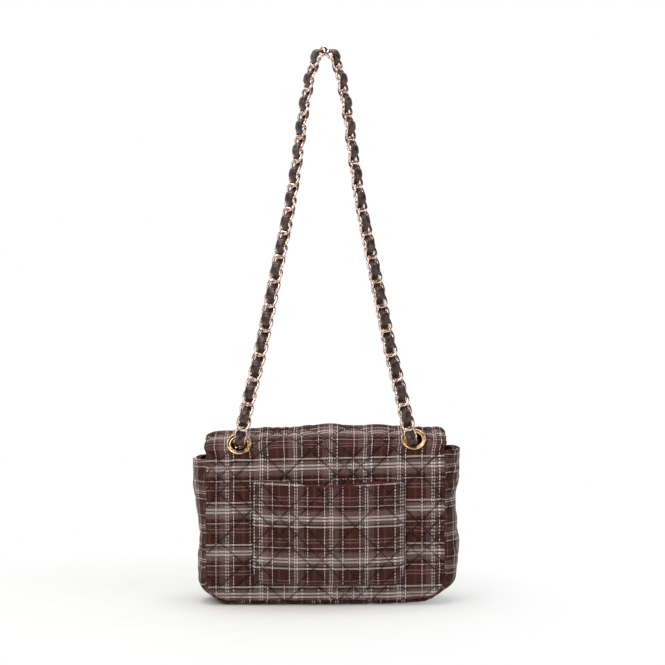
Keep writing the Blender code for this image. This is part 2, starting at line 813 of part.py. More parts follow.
def lace_piece(name, track, first, last, places):
    """A leather lace that changes sides at the middle of every link, and ends behind."""
    side = -1
    stops = [(first, side, 0)]
    for middle, after in zip(places, [*places[1:], None]):
        stops.append((middle - LACE_RAMP, side, 1))
        side = -side
        stops.append((middle + LACE_RAMP, side, -1))
        if after:
            stops.append(((middle + after) / 2, side, 0))
    stops.append((last, side, 0))
    half = LINK_HALF_WIDTH - WIRE_R - LACE_SIDE_GAP
    lean = 0.5 * LACE_THICKNESS * math.tan(0.5 * math.atan(LACE_RISE / LACE_RAMP))
    rings = []
    for distance, which, slant in stops:
        here, along, across, outward = track.frame(distance, LACE_THICKNESS)
        line = here + outward * (which * LACE_RISE)
        ring = []
        for sx, sz in ((-1, -1), (1, -1), (1, 1), (-1, 1)):
            corner = line + across * (sx * half) + outward * (sz * which * LACE_THICKNESS / 2)
            ring.append(corner + along * (slant * lean * sz))
        rings.append(ring if which > 0 else [ring[3], ring[2], ring[1], ring[0]])
    return add_piece(name, stack(rings), "brown_leather")


def build_strap():
    """The strap's sections, each hung on the one below it, with one pitch for all their links."""
    track = strap_track()
    start = strap_start()
    clear = 2 * WIRE_R + LINK_END_GAP
    side_runs = (("lower", LOWER_LINKS), ("middle", MIDDLE_LINKS))
    side_links = 2 * sum(count for _, count in side_runs)
    run_count = 2 * len(side_runs) + 1
    room = track.length - (run_count + 1) * clear - run_count * 2 * LINK_REACH
    upper_links = 2 * round((room / LINK_PITCH - side_links) / 2)
    pitch = room / (side_links + upper_links)
    joint = add_joint("strap_swing_axis", start.y, start.z)
    low = 0.0
    for word, count in side_runs:
        high = low + clear + run_length(count, pitch)
        places = link_places(low + clear, count, pitch)
        made = []
        for side in ("left", "right"):
            if side == "right":
                spots = [track.length - s for s in reversed(places)]
                ends = (track.length - high + LACE_END_GAP, track.length - low - LACE_END_GAP)
            else:
                spots = places
                ends = (low + LACE_END_GAP, high - LACE_END_GAP)
            made.append(chain_piece(f"{side}_{word}_chain", track, spots, pitch))
            made.append(lace_piece(f"{side}_{word}_lace", track, *ends, spots))
        hang_on(joint, made)
        pivot = track.point(high)
        joint = add_joint(f"strap_{word}_bend_axis", pivot.y, pivot.z, joint)
        low = high
    places = link_places(low + clear, upper_links, pitch)
    chain = chain_piece("upper_chain", track, places, pitch)
    ends = (low + LACE_END_GAP, track.length - low - LACE_END_GAP)
    hang_on(joint, [chain, lace_piece("upper_lace", track, *ends, places)])


def ring_wire(name, centre, radius, wire, finish):
    """A round wire ring that lies in the YZ plane."""
    place = Matrix.Translation(centre) @ Matrix.Rotation(math.pi / 2, 4, "Y")
    profile = []
    for k in range(RING_WIRE_SIDES):
        turn = 2 * math.pi * k / RING_WIRE_SIDES
        profile.append((radius + wire * math.cos(turn), wire * math.sin(turn)))
    return add_piece(name, turned(profile, RING_POINTS, place, False), finish, True)


def strip_solid(line, thickness, low, high):
    """A strip of even thickness along a line of (x, y) points, extruded from low to high."""
    outer, inner = [], []
    for i, (x, y) in enumerate(line):
        before = Vector(line[max(i - 1, 0)])
        after = Vector(line[min(i + 1, len(line) - 1)])
        run = (after - before).normalized()
        side = Vector((-run.y, run.x)) * (thickness / 2)
        outer.append([(x + side.x, y + side.y, low), (x + side.x, y + side.y, high)])
        inner.append([(x - side.x, y - side.y, low), (x - side.x, y - side.y, high)])
    return slab(outer, inner)


def tab_line(x, flat_y, wire_y):
    """The tab lies on the wall on both sides of the ring's wire and passes over it between."""
    line = [(x - TAB_HALF_LENGTH, flat_y), (x - TAB_FOOT, flat_y)]
    for i in range(TAB_LOOP_STEPS + 1):
        turn = math.pi * (1 - i / TAB_LOOP_STEPS)
        line.append((x + TAB_LOOP_R * math.cos(turn), wire_y + TAB_LOOP_R * math.sin(turn)))
    return line + [(x + TAB_FOOT, flat_y), (x + TAB_HALF_LENGTH, flat_y)]


def build_anchors(back_lining):
    """Inside the bag, a riveted leather tab holds the ring that the chain ends on."""
    wall_y = -(INSIDE_R - PLY_GAP)
    flat_y = wall_y + TAB_THICKNESS / 2
    wire_y = -INSIDE_R + RING_WIRE_R + HOLE_CLEARANCE
    stem = -(TAB_THICKNESS + 2 * PLY_GAP + LINING)
    rivet_profile = [
        (0, stem),
        (RIVET_STEM_R, stem),
        (RIVET_STEM_R, 0),
        (RIVET_HEAD_R, 0),
        (0.8 * RIVET_HEAD_R, 0.8 * RIVET_HEAD_T),
        (0, RIVET_HEAD_T),
    ]
    hole_r = RIVET_STEM_R + HOLE_CLEARANCE
    rivet_out = (TAB_FOOT + TAB_HALF_LENGTH) / 2
    for side, word in ((-1, "left"), (1, "right")):
        track = tail_track(side)
        places = link_places(0.0, TAIL_LINKS, LINK_PITCH)
        chain_piece(f"{word}_chain_tail", track, places, LINK_PITCH)
        lace_piece(f"{word}_lace_tail", track, LACE_END_GAP, places[-1] - LACE_RAMP, places[:-1])
        end = track.points[-1]
        radius = end.y - wire_y
        hook = WIRE_R + RING_WIRE_R + LINK_END_GAP
        centre = end - Vector((0, 0, radius - hook))
        ring_wire(f"{word}_anchor_ring", centre, radius, RING_WIRE_R, "yellow_gold")
        x = end.x
        low, high = centre.z - TAB_WIDTH / 2, centre.z + TAB_WIDTH / 2
        tab_bm = strip_solid(tab_line(x, flat_y, wire_y), TAB_THICKNESS, low, high)
        tab = add_piece(f"{word}_anchor_tab", tab_bm, "brown_leather")
        for way, end_word in ((-side, "inner"), (side, "outer")):
            place = along_y(x + way * rivet_out, wall_y + TAB_THICKNESS + PLY_GAP, centre.z)
            name = f"{word}_{end_word}_tab_rivet"
            add_piece(name, turned(rivet_profile, RIVET_SIDES, place, True), "yellow_gold", True)
            cut = cylinder_cutter(name + "_hole", hole_r, stem - PLY_GAP, RIVET_HEAD_R, place)
            use_tool(tab, cut, "DIFFERENCE")
            use_tool(back_lining, cut, "DIFFERENCE")


def hang_flap(flap, stud):
    """The flap's two joints lie on its outer face, at its hinge line and at its front fold."""
    hinge = arch_point(0, HALF_DEPTH, arch_station(FLAP_HINGE_ANGLE))
    fold = arch_point(0, HALF_DEPTH, arch_station(FLAP_FOLD_ANGLE))
    flap_axis = add_joint("flap_hinge_axis", hinge.y, hinge.z)
    fold_axis = add_joint("flap_fold_axis", fold.y, fold.z, flap_axis)
    hang_on(flap_axis, [flap["panel"][0], flap["lining"][0]])
    hang_on(fold_axis, [flap["panel"][1], flap["lining"][1], stud])


def main():
    clear_scene()
    back, back_lining, front = build_walls()
    build_gusset()
    flap = build_flap()
    build_pocket()
    build_eyelets(back, back_lining)
    stud = build_snap(front, flap)
    build_strap()
    build_anchors(back_lining)
    hang_flap(flap, stud)


main()
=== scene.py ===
"""Looks of a quilted tartan flap bag with a laced chain strap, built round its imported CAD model.

Metres, +Z up. The back of the bag, with its slip pocket and eyelets, faces -Y.
"""

import logging
import math
from dataclasses import dataclass
from enum import Enum

import bmesh
import bpy
import numpy as np
from mathutils import Matrix, Vector


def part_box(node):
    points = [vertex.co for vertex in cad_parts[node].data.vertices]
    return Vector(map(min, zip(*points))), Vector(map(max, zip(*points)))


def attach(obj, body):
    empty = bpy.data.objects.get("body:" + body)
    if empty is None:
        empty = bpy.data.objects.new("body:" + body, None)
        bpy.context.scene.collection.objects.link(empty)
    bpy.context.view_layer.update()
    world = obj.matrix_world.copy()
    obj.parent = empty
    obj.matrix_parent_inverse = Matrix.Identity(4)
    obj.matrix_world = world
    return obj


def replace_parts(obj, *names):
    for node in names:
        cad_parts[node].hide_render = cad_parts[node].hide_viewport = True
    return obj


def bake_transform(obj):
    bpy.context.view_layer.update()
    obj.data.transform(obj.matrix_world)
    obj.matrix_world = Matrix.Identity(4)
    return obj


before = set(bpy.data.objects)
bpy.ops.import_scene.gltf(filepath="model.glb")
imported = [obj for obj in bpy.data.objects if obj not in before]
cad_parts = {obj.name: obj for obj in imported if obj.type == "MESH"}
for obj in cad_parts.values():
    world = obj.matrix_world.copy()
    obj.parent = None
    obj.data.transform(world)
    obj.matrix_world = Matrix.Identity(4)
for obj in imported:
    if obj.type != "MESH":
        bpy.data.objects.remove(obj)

LOG = logging.getLogger("bag")
MM = 0.001
UV_NAME = "cloth"
RIM = np.array([0.0, 0.22, 0.65, 1.3, 2.2]) * MM
MIX_SOCKETS = {"FLOAT": (2, 0), "VECTOR": (4, 1), "RGBA": (6, 2)}
SIDES = ((-1, "left"), (1, "right"))
SQUEEZE = 45 * MM
SHORTEST_RUN = 5


class Slot(Enum):
    """The record's material slots."""

    TARTAN = "quilted_tartan"
    LINING = "wine_lining"
    LEATHER = "brown_leather"
    CHAIN = "rose_gold"
    FITTINGS = "yellow_gold"
    BOARD = "board"


def linear(hex_code: str) -> tuple[float, float, float, float]:
    """Turns an sRGB hex value into the linear colour that nodes take.

    Args:
        hex_code: six hex digits.

    Returns:
        Linear red, green, blue and alpha.
    """
    shares = [int(hex_code[i : i + 2], 16) / 255 for i in (0, 2, 4)]
    return (*[c / 12.92 if c <= 0.04045 else ((c + 0.055) / 1.055) ** 2.4 for c in shares], 1.0)


def add_node(tree, kind: str, inputs: dict | None = None, **settings) -> bpy.types.Node:
    """Adds a node with its settings, and sets or links its inputs.

    Args:
        tree: the node tree.
        kind: the node's type.
        inputs: values or output sockets, by input name or number.
        **settings: the node's own properties.

    Returns:
        The new node.
    """
    node = tree.nodes.new(kind)
    for name, value in settings.items():
        setattr(node, name, value)
    for key, value in (inputs or {}).items():
        if isinstance(value, bpy.types.NodeSocket):
            tree.links.new(value, node.inputs[key])
        else:
            node.inputs[key].default_value = value
    return node


def colour_ramp(tree, share, stops, interpolation: str = "LINEAR") -> bpy.types.NodeSocket:
    """Reads a share as a colour.

    Args:
        tree: the node tree.
        share: the socket that is read.
        stops: (position, hex colour) pairs in rising order.
        interpolation: how colours run between stops.

    Returns:
        The colour's socket.
    """
    node = add_node(tree, "ShaderNodeValToRGB", {0: share})
    ramp = node.color_ramp
    ramp.interpolation = interpolation
    while len(ramp.elements) < len(stops):
        ramp.elements.new(1.0)
    for element, (position, colour) in zip(ramp.elements, stops):
        element.position = position
        element.color = linear(colour)
    return node.outputs[0]


def new_material(name: str, **values):
    """Makes a material.

    Args:
        name: the real material's name.
        **values: constants for the shader's own sockets, with _ for each space.

    Returns:
        The material, its tree and its shader node.
    """
    made = bpy.data.materials.new(name)
    made.use_nodes = True
    shader = made.node_tree.nodes["Principled BSDF"]
    for key, value in values.items():
        shader.inputs[key.replace("_", " ")].default_value = value
    return made, made.node_tree, shader


def worked(tree, value, *steps) -> bpy.types.NodeSocket:
    """Runs arithmetic on a socket, one step after another.

    Args:
        tree: the node tree.
        value: the first socket.
        *steps: (operation, further values or sockets) of each step.

    Returns:
        The last result.
    """
    for operation, *others in steps:
        inputs = dict(enumerate([value, *others]))
        value = add_node(tree, "ShaderNodeMath", inputs, operation=operation).outputs[0]
    return value


def mixed(tree, kind: str, share, first, last, **settings) -> bpy.types.NodeSocket:
    """Mixes two sockets of a kind by a share."""
    place, out = MIX_SOCKETS[kind]
    inputs = {0: share, place: first, place + 1: last}
    return add_node(tree, "ShaderNodeMix", inputs, data_type=kind, **settings).outputs[out]


def scaled(tree, source, *limits) -> bpy.types.NodeSocket:
    """Maps a socket from the first two limits to the last two."""
    return add_node(tree, "ShaderNodeMapRange", dict(enumerate((source, *limits)))).outputs[0]


def uv_place(tree) -> bpy.types.NodeSocket:
    """The cloth's own UV map, in metres."""
    return add_node(tree, "ShaderNodeUVMap", uv_map=UV_NAME).outputs["UV"]


def object_place(tree) -> bpy.types.NodeSocket:
    """The place on the object, in metres."""
    return add_node(tree, "ShaderNodeTexCoord").outputs["Object"]


def noise(tree, place, size: float, detail: float) -> bpy.types.NodeSocket:
    """Cloudy noise whose patches are about one size apart."""
    inputs = {"Vector": place, "Scale": 1 / size, "Detail": detail}
    return add_node(tree, "ShaderNodeTexNoise", inputs).outputs[0]


def slanting_bands(tree, place, width: float, distortion: float = 0.0) -> bpy.types.NodeSocket:
    """Slanting bands, such as a twill's ribs or a twisted thread's plies."""
    inputs = {"Vector": place, "Scale": 0.31 / width, "Distortion": distortion}
    return add_node(tree, "ShaderNodeTexWave", inputs, bands_direction="DIAGONAL").outputs["Fac"]


def wire_up(tree, shader, colour, bump: tuple = (), gloss=None) -> None:
    """Links a colour, a bump as (height, metres, strength) and a roughness to the shader."""
    tree.links.new(colour, shader.inputs["Base Color"])
    if bump:
        inputs = dict(zip(("Height", "Distance", "Strength"), bump))
        tree.links.new(add_node(tree, "ShaderNodeBump", inputs).outputs[0], shader.inputs["Normal"])
    if gloss:
        tree.links.new(gloss, shader.inputs["Roughness"])


@dataclass(frozen=True)
class TartanWool:
    """Woollen tartan in a two-and-two twill, woven from slubby yarn.

    The eye gets stripes of white dots, because a thick white warp yarn lies over two rows and under
    the next two. They stand on deep maroon and mauve-grey checks that are matt and slightly furry.
    The rows are drawn a third coarser than real ones, so that the dots show.
    """

    repeats: tuple = (30.1 * MM, -37.7 * MM)
    counts: tuple = (58, 52)
    warp: tuple = (
        (0, "FFF3EC"), (1, "3C221C"), (4, "48261F"), (15, "5A3F36"), (19, "48261F"), (21, "411F1A"),
        (28, "FAE9E2"), (29, "432520"), (35, "6A5250"), (45, "FAE9E2"), (46, "655150"),
        (49, "FAE9E2"), (50, "54403B"), (56, "452D27"),
    )  # fmt: skip
    weft: tuple = (
        (0, "D4C3BC"), (2, "33241F"), (4, "776A64"), (8, "E2D1CC"), (10, "7C6967"), (12, "E4D4CE"),
        (14, "7C6563"), (20, "5A4644"), (22, "331D1A"), (26, "D0B5AF"), (27, "4B2C27"), (33, "9A7A76"),
        (34, "4B2C27"), (37, "9A7A76"), (38, "43261F"), (51, "331D1A"),
    )  # fmt: skip
    yarn_relief: float = 0.2 * MM

    def material(self) -> bpy.types.Material:
        """Builds the weave from thread numbers on the UV map, with painted shade where the yarns dip under
        each other and along the stitch lines.
        """
        made, tree, shader = new_material(
            "woven wool tartan", Roughness=0.95, Sheen_Weight=0.05, Sheen_Roughness=0.45,
            Specular_IOR_Level=0.12, Sheen_Tint=linear("E8DAD4"),
        )  # fmt: skip
        uv = uv_place(tree)
        split = add_node(tree, "ShaderNodeSeparateXYZ", {0: uv})
        runs, numbers, colours = [], [], []
        for axis, (size, count, sett) in enumerate(zip(self.repeats, self.counts, (self.warp, self.weft))):
            run = worked(tree, split.outputs[axis], ("DIVIDE", size / count))
            place = worked(tree, run, ("DIVIDE", count), ("FRACT",))
            runs.append(run)
            numbers.append(worked(tree, run, ("FLOOR",)))
            stops = [(first / count, colour) for first, colour in sett]
            colours.append(colour_ramp(tree, place, stops, "CONSTANT"))
        over = worked(tree, numbers[0], ("ADD", numbers[1]), ("FLOORED_MODULO", 4.0), ("LESS_THAN", 1.5))
        heights = []
        for own, other, start in ((0, 1, 0.0), (1, 0, 2.0)):
            arch = worked(
                tree, runs[other], ("ADD", numbers[own]), ("FLOORED_MODULO", 4.0),
                ("MULTIPLY_ADD", math.pi / 2, -start * math.pi / 2),
                ("SINE",), ("ABSOLUTE",), ("POWER", 0.5),
            )  # fmt: skip
            steps = ("FRACT",), ("MULTIPLY", math.pi), ("SINE",), ("MULTIPLY", arch)
            heights.append(worked(tree, runs[own], *steps))
        height = mixed(tree, "FLOAT", over, heights[1], heights[0])
        colour = mixed(tree, "RGBA", over, colours[1], colours[0])
        fluff = noise(tree, uv, 0.9 * MM, 3.0)
        # painted shade: the stitch lines' mark darkens the colour, mostly as shade in the quilting's
        # creases and partly as the dark needle holes
        seam = add_node(tree, "ShaderNodeAttribute", attribute_name="seam").outputs["Fac"]
        for source, *limits in (
            (self.slub(tree, runs, numbers, over), 0.25, 0.75, 0.6, 1.4),
            (noise(tree, uv, 14 * MM, 2.0), 0.3, 0.7, 0.92, 1.08),
            (fluff, 0.3, 0.7, 0.72, 1.28),
            # painted shade: the colour darkens where a yarn dips under the next, as shade between the yarns
            (height, 0.0, 0.8, 0.55, 1.15),
            # painted shade along the stitch lines, down to about a sixth of the colour
            (seam, 0.3, 0.85, 1.0, 0.16),
        ):
            share = scaled(tree, source, *limits)
            colour = mixed(tree, "RGBA", 1.0, colour, share, blend_type="MULTIPLY")
        height = worked(tree, fluff, ("MULTIPLY_ADD", 0.8, height))
        wire_up(tree, shader, colour, (height, self.yarn_relief, 0.8))
        return made

    @staticmethod
    def slub(tree, runs, numbers, over) -> bpy.types.NodeSocket:
        """Noise that runs along each yarn and changes from one yarn to the next."""
        spots = []
        for x, y, shift in ((numbers[0], runs[1], 0.0), (runs[0], numbers[1], 40.0)):
            place = add_node(tree, "ShaderNodeCombineXYZ", {0: x, 1: y, 2: shift}).outputs[0]
            inputs = {0: place, 1: (0.3, 0.9, 1.0) if shift else (0.9, 0.3, 1.0)}
            spots.append(add_node(tree, "ShaderNodeVectorMath", inputs, operation="MULTIPLY").outputs[0])
        return noise(tree, mixed(tree, "VECTOR", over, spots[1], spots[0]), 1.0, 1.5)


@dataclass(frozen=True)
class LiningTwill:
    """Viscose lining in a fine twill, which the eye sees as a soft diagonal gloss.

    A real lining has about 40 threads to the centimetre; it is drawn at 20 so that it shows.
    """

    thread: float = 0.5 * MM

    def material(self) -> bpy.types.Material:
        """Builds diagonal ribs on the UV map, which also lighten and darken the colour as painted sheen and
        shade, with a slow change of depth.
        """
        made, tree, shader = new_material(
            "viscose lining twill", Roughness=0.48, Sheen_Weight=0.3, Sheen_Tint=linear("C07078")
        )
        uv = uv_place(tree)
        ribs = slanting_bands(tree, uv, self.thread, 0.4)
        # painted sheen and shade: the ribs lighten and darken the colour as light would on their tops and
        # in their grooves
        tone = worked(tree, ribs, ("MULTIPLY_ADD", 0.35, noise(tree, uv, 22 * MM, 3.0)))
        colour = colour_ramp(tree, tone, [(0.3, "48101B"), (0.65, "6B1A28"), (1.0, "842B38")])
        wire_up(tree, shader, colour, (ribs, 0.05 * MM, 0.5))
        return made


@dataclass(frozen=True)
class CalfLeather:
    """Dark dyed calf leather, waxed: fine pebbled grain with rubbed, paler high spots."""

    grain: float = 0.8 * MM

    def material(self) -> bpy.types.Material:
        """Builds the grain from cells, with a rubbed tone on top."""
        made, tree, shader = new_material(
            "waxed calf leather", Specular_IOR_Level=0.45, Coat_Weight=0.15, Coat_Roughness=0.3
        )
        place = object_place(tree)
        inputs = {"Vector": place, "Scale": 1 / self.grain}
        cells = add_node(tree, "ShaderNodeTexVoronoi", inputs, feature="SMOOTH_F1").outputs["Distance"]
        rub = noise(tree, place, 3.2 * MM, 4.0)
        tone = worked(tree, cells, ("MULTIPLY_ADD", -0.25, rub))
        colour = colour_ramp(tree, tone, [(0.24, "1E110D"), (0.42, "3A251E"), (0.6, "6E5145")])
        wire_up(tree, shader, colour, (cells, 0.12 * MM, 0.55), scaled(tree, rub, 0.3, 0.7, 0.3, 0.5))
        return made


@dataclass(frozen=True)
class PlatedBrass:
    """Die-cast or drawn metal with a polished gold plating, slightly hazed by handling. Its colour runs in
    patches from a bright to a darker tone: a mild dulling on the fittings, and on the chain painted
    highlights and dark reflections, drawn at the size of its thin wires.
    """

    name: str
    bright: str
    worn_and_painted_dark: str
    polish: float
    patch: float = 3 * MM

    def material(self) -> bpy.types.Material:
        """Builds a tone that darkens in patches, which on the chain is painted dark reflection, with fine
        wipe marks in the gloss.
        """
        made, tree, shader = new_material(self.name, Metallic=1.0)
        place = object_place(tree)
        haze_and_painted_reflection = noise(tree, place, self.patch, 3.0)
        both = worked(tree, noise(tree, place, 0.35 * MM, 2.0), ("MULTIPLY_ADD", 0.4, haze_and_painted_reflection))
        gloss = scaled(tree, both, 0.4, 1.0, self.polish, self.polish + 0.14)
        # painted reflection: on the chain the patches of the darker tone stand in for dark reflections
        # between the highlights
        colour = colour_ramp(tree, haze_and_painted_reflection, [(0.38, self.worn_and_painted_dark), (0.58, self.bright)])
        wire_up(tree, shader, colour, (haze_and_painted_reflection, 0.12 * MM, 0.25), gloss)
        return made


@dataclass(frozen=True)
class GreyBoard:
    """Pressed greyboard, recycled fibre with darker flecks."""

    def material(self) -> bpy.types.Material:
        """Builds flecks from noise."""
        made, tree, shader = new_material("pressed greyboard", Roughness=0.88)
        fleck = noise(tree, object_place(tree), 1.5 * MM, 5.0)
        colour = colour_ramp(tree, fleck, [(0.35, "6B5F52"), (0.55, "8C7F70"), (0.75, "A09484")])
        wire_up(tree, shader, colour, (fleck, 0.1 * MM, 0.4))
        return made


@dataclass(frozen=True)
class SewingThread:
    """Spun polyester sewing thread, dark brown, two plies twisted together."""

    ply: float = 0.35 * MM

    def material(self) -> bpy.types.Material:
        """Builds the twist as slanting bands of painted light and shade on the plies."""
        made, tree, shader = new_material("spun sewing thread", Roughness=0.7, Sheen_Weight=0.2)
        twist = slanting_bands(tree, object_place(tree), self.ply)
        wire_up(tree, shader, colour_ramp(tree, twist, [(0.0, "1C1110"), (1.0, "35221F")]))
        return made


class Finishes:
    """Makes each finish once and gives it to the pieces."""

    def __init__(self) -> None:
        """Builds every material of the bag."""
        self.thread = SewingThread().material()
        self.by_slot = {
            Slot.TARTAN: TartanWool().material(),
            Slot.LINING: LiningTwill().material(),
            Slot.LEATHER: CalfLeather().material(),
            # the chain's darker tone, in patches the size of a wire, is painted dark reflection, and its
            # bright tone painted highlight
            Slot.CHAIN: PlatedBrass("pale rose gold plate", "FFE9DA", "A5806A", 0.08, 1.9 * MM).material(),
            Slot.FITTINGS: PlatedBrass("yellow gold plate", "F0D3AC", "CDA276", 0.11).material(),
            Slot.BOARD: GreyBoard().material(),
        }

    def dress(self, piece: bpy.types.Object, slot: Slot) -> bpy.types.Object:
        """Gives a piece a slot's finish and returns the piece."""
        piece.data.materials.clear()
        piece.data.materials.append(self.by_slot[slot])
        return piece


def smoothstep(value):
    """A share from 0 to 1 with no kink at either end."""
    share = np.clip(value, 0.0, 1.0)
    return share * share * (3 - 2 * share)


def from_table(x, places, values, width: float):
    """Reads a table with its kinks smoothed over a width."""
    looks = [np.interp(x + shift * width, places, values) for shift in (-1, 0, 0, 1)]
    return sum(looks) / 4


def value_noise(x, y, size: float, seed: int):
    """Smooth random heights from -1 to 1.

    Args:
        x: first coordinate in metres.
        y: second coordinate in metres.
        size: how far apart the random values stand.
        seed: fixed seed.

    Returns:
        Heights of the same shape as x.
    """
    count = 64
    table = np.random.default_rng(seed).uniform(-1, 1, (count, count))
    gx, gy = np.asarray(x) / size, np.asarray(y) / size
    i, j = np.floor(gx).astype(int), np.floor(gy).astype(int)
    fx, fy = smoothstep(gx - i), smoothstep(gy - j)
    low = table[i % count, j % count] * (1 - fx) + table[(i + 1) % count, j % count] * fx
    high = table[i % count, (j + 1) % count] * (1 - fx) + table[(i + 1) % count, (j + 1) % count] * fx
    return low * (1 - fy) + high * fy


def round_over(distance, radius: float):
    """How far a rounded rim has dropped at a distance from its outline."""
    inside = radius - np.minimum(np.maximum(distance, 0.0), radius)
    return radius - np.sqrt(radius**2 - inside**2)


def rounded_distance(x, low, half: float, radius: float):
    """Distance inside an outline with rounded lower corners.

    Args:
        x: distance from the middle.
        low: distance above the lower edge.
        half: half the width.
        radius: radius of the lower corners.

    Returns:
        Metres inside the outline; less than zero outside it.
    """
    side = half - np.abs(x)
    corner = (side < radius) & (low < radius)
    away = np.hypot(np.maximum(radius - side, 0), np.maximum(radius - low, 0))
    return np.where(corner, radius - away, np.minimum(side, low))


def squeezed(x, half: float, cut):
    """Moves columns inward, so that the outermost ones follow a rounded outline."""
    share = np.clip(1 - (half - np.abs(x)) / SQUEEZE, 0, 1)
    return x - np.sign(x) * cut * share


def grid_marks(low: float, high: float, origin: float, step: float):
    """Marks on the quilting's own spacing, closer together at the rounded rims.

    Args:
        low: first mark.
        high: last mark.
        origin: a mark that the spacing passes through.
        step: the spacing.

    Returns:
        Rising marks from low to high.
    """
    first, last = low + RIM, high - RIM[::-1]
    start, end = math.floor((low - origin) / step), math.ceil((high - origin) / step)
    every = origin + step * np.arange(start, end + 1)
    every = every[(every > first[-1] + 0.4 * step) & (every < last[0] - 0.4 * step)]
    return np.concatenate([first, every, last])


@dataclass(frozen=True)
class Quilting:
    """Two crossing families of stitch lines at 45 degrees, a single line and then three together.

    A line lies wherever x + s, or x - s, is one of the family's marks; unit is the mark spacing.
    """

    falling: float
    rising: float
    unit: float = 14.6 * MM
    depth: float = 2.5 * MM
    reach: float = 6.5 * MM
    gather: float = 0.25 * MM
    fineness: int = 6
    marks: tuple = (0, 3, 4, 5, 8)
    repeat: int = 8

    @property
    def step(self) -> float:
        """Spacing of a grid that has a column on every line."""
        return self.unit / 2 / self.fineness

    def nearest(self, total, start: float):
        """Distance to the nearest line of one family, square to it."""
        place = ((total - start) / self.unit) % self.repeat
        gap = np.min([np.abs(place - mark) for mark in self.marks], axis=0)
        return gap * self.unit / math.sqrt(2)

    def distances(self, x, s):
        """Distances to the nearest falling line and to the nearest rising line."""
        return self.nearest(x + s, self.falling), self.nearest(x - s, self.rising)

    def puff(self, x, s):
        """How full the padding is, from 0 on a stitch line to about 1 between the lines."""
        full = np.ones_like(np.asarray(x, dtype=float) + s)
        for gap in self.distances(x, s):
            near = np.sqrt(1 - (1 - np.minimum(gap / self.reach, 1)) ** 2)
            wide = np.minimum(gap / (15 * MM), 1)
            full = full * (0.86 * near + 0.14 * np.sin(wide * math.pi / 2))
        return full

    def pucker(self, x, s):
        """Small gathers that run square to the stitch lines and die out between them."""
        falling, rising = self.distances(x, s)
        height = np.zeros_like(falling)
        for gap, run, seed in ((falling, x - s, 5), (rising, x + s, 9)):
            fade = np.exp(-gap / (2.6 * MM)) * np.minimum(gap / (0.8 * MM), 1)
            height += fade * value_noise(run, gap * 0.35, 2.1 * MM, seed)
        return height

    def seam(self, x, s):
        """One on a stitch line, and zero a millimetre away from it."""
        return np.clip(1 - np.minimum(*self.distances(x, s)) / (1.0 * MM), 0, 1)

    def grid(self, half: float, low: float, high: float, middle: float = 0.0) -> list:
        """Columns and rows that pass through every crossing of two lines.

        Args:
            half: how far the columns go on either side of the middle.
            low: the first row.
            high: the last row.
            middle: where the columns' own zero lies.

        Returns:
            The grid's x, from the middle, and its s.
        """
        x0, s0 = (self.falling + self.rising) / 2, (self.falling - self.rising) / 2
        columns = grid_marks(-half, half, x0 - middle, self.step)
        return np.meshgrid(columns, grid_marks(low, high, s0, self.step))

    def relief(self, x, s, plateau: float):
        """Height of the puffed and gathered face, whose full puffs reach a plateau."""
        return plateau - self.depth * (1 - self.puff(x, s)) + self.gather * self.pucker(x, s)

    def lines(self, reach: float, half: float, shift: float = 0.0):
        """Every stitch line near the piece, as points a millimetre apart across it.

        Args:
            reach: how far lines may lie from the origin.
            half: half the width that they cross.
            shift: where the middle of that width is.

        Yields:
            The points' x and s.
        """
        x = np.arange(-half, half, 1 * MM) + shift
        count = math.ceil(reach / (self.unit * self.repeat))
        for sign, start in ((1, self.falling), (-1, self.rising)):
            for turn in range(-count, count + 1):
                for mark in self.marks[:-1]:
                    place = start + (turn * self.repeat + mark) * self.unit
                    yield x, (place - x) if sign > 0 else (x - place)


def new_object(name: str, data) -> bpy.types.Object:
    """Puts a new object in the scene."""
    made = bpy.data.objects.new(name, data)
    bpy.context.scene.collection.objects.link(made)
    return made


def new_mesh(name: str, points, edges, faces, uv=None) -> bpy.types.Mesh:
    """A mesh, with a UV map in metres if each point's own place on it is given."""
    mesh = bpy.data.meshes.new(name)
    mesh.from_pydata(points, edges, faces)
    if uv is not None:
        loops = np.zeros(len(mesh.loops), np.int32)
        mesh.loops.foreach_get("vertex_index", loops)
        mesh.uv_layers.new(name=UV_NAME).data.foreach_set("uv", uv[loops].astype(np.float32).ravel())
    return mesh


def mesh_from(name: str, bm: bmesh.types.BMesh) -> bpy.types.Mesh:
    """Turns an edit mesh into a mesh and frees it."""
    mesh = bpy.data.meshes.new(name)
    bm.to_mesh(mesh)
    bm.free()
    return mesh


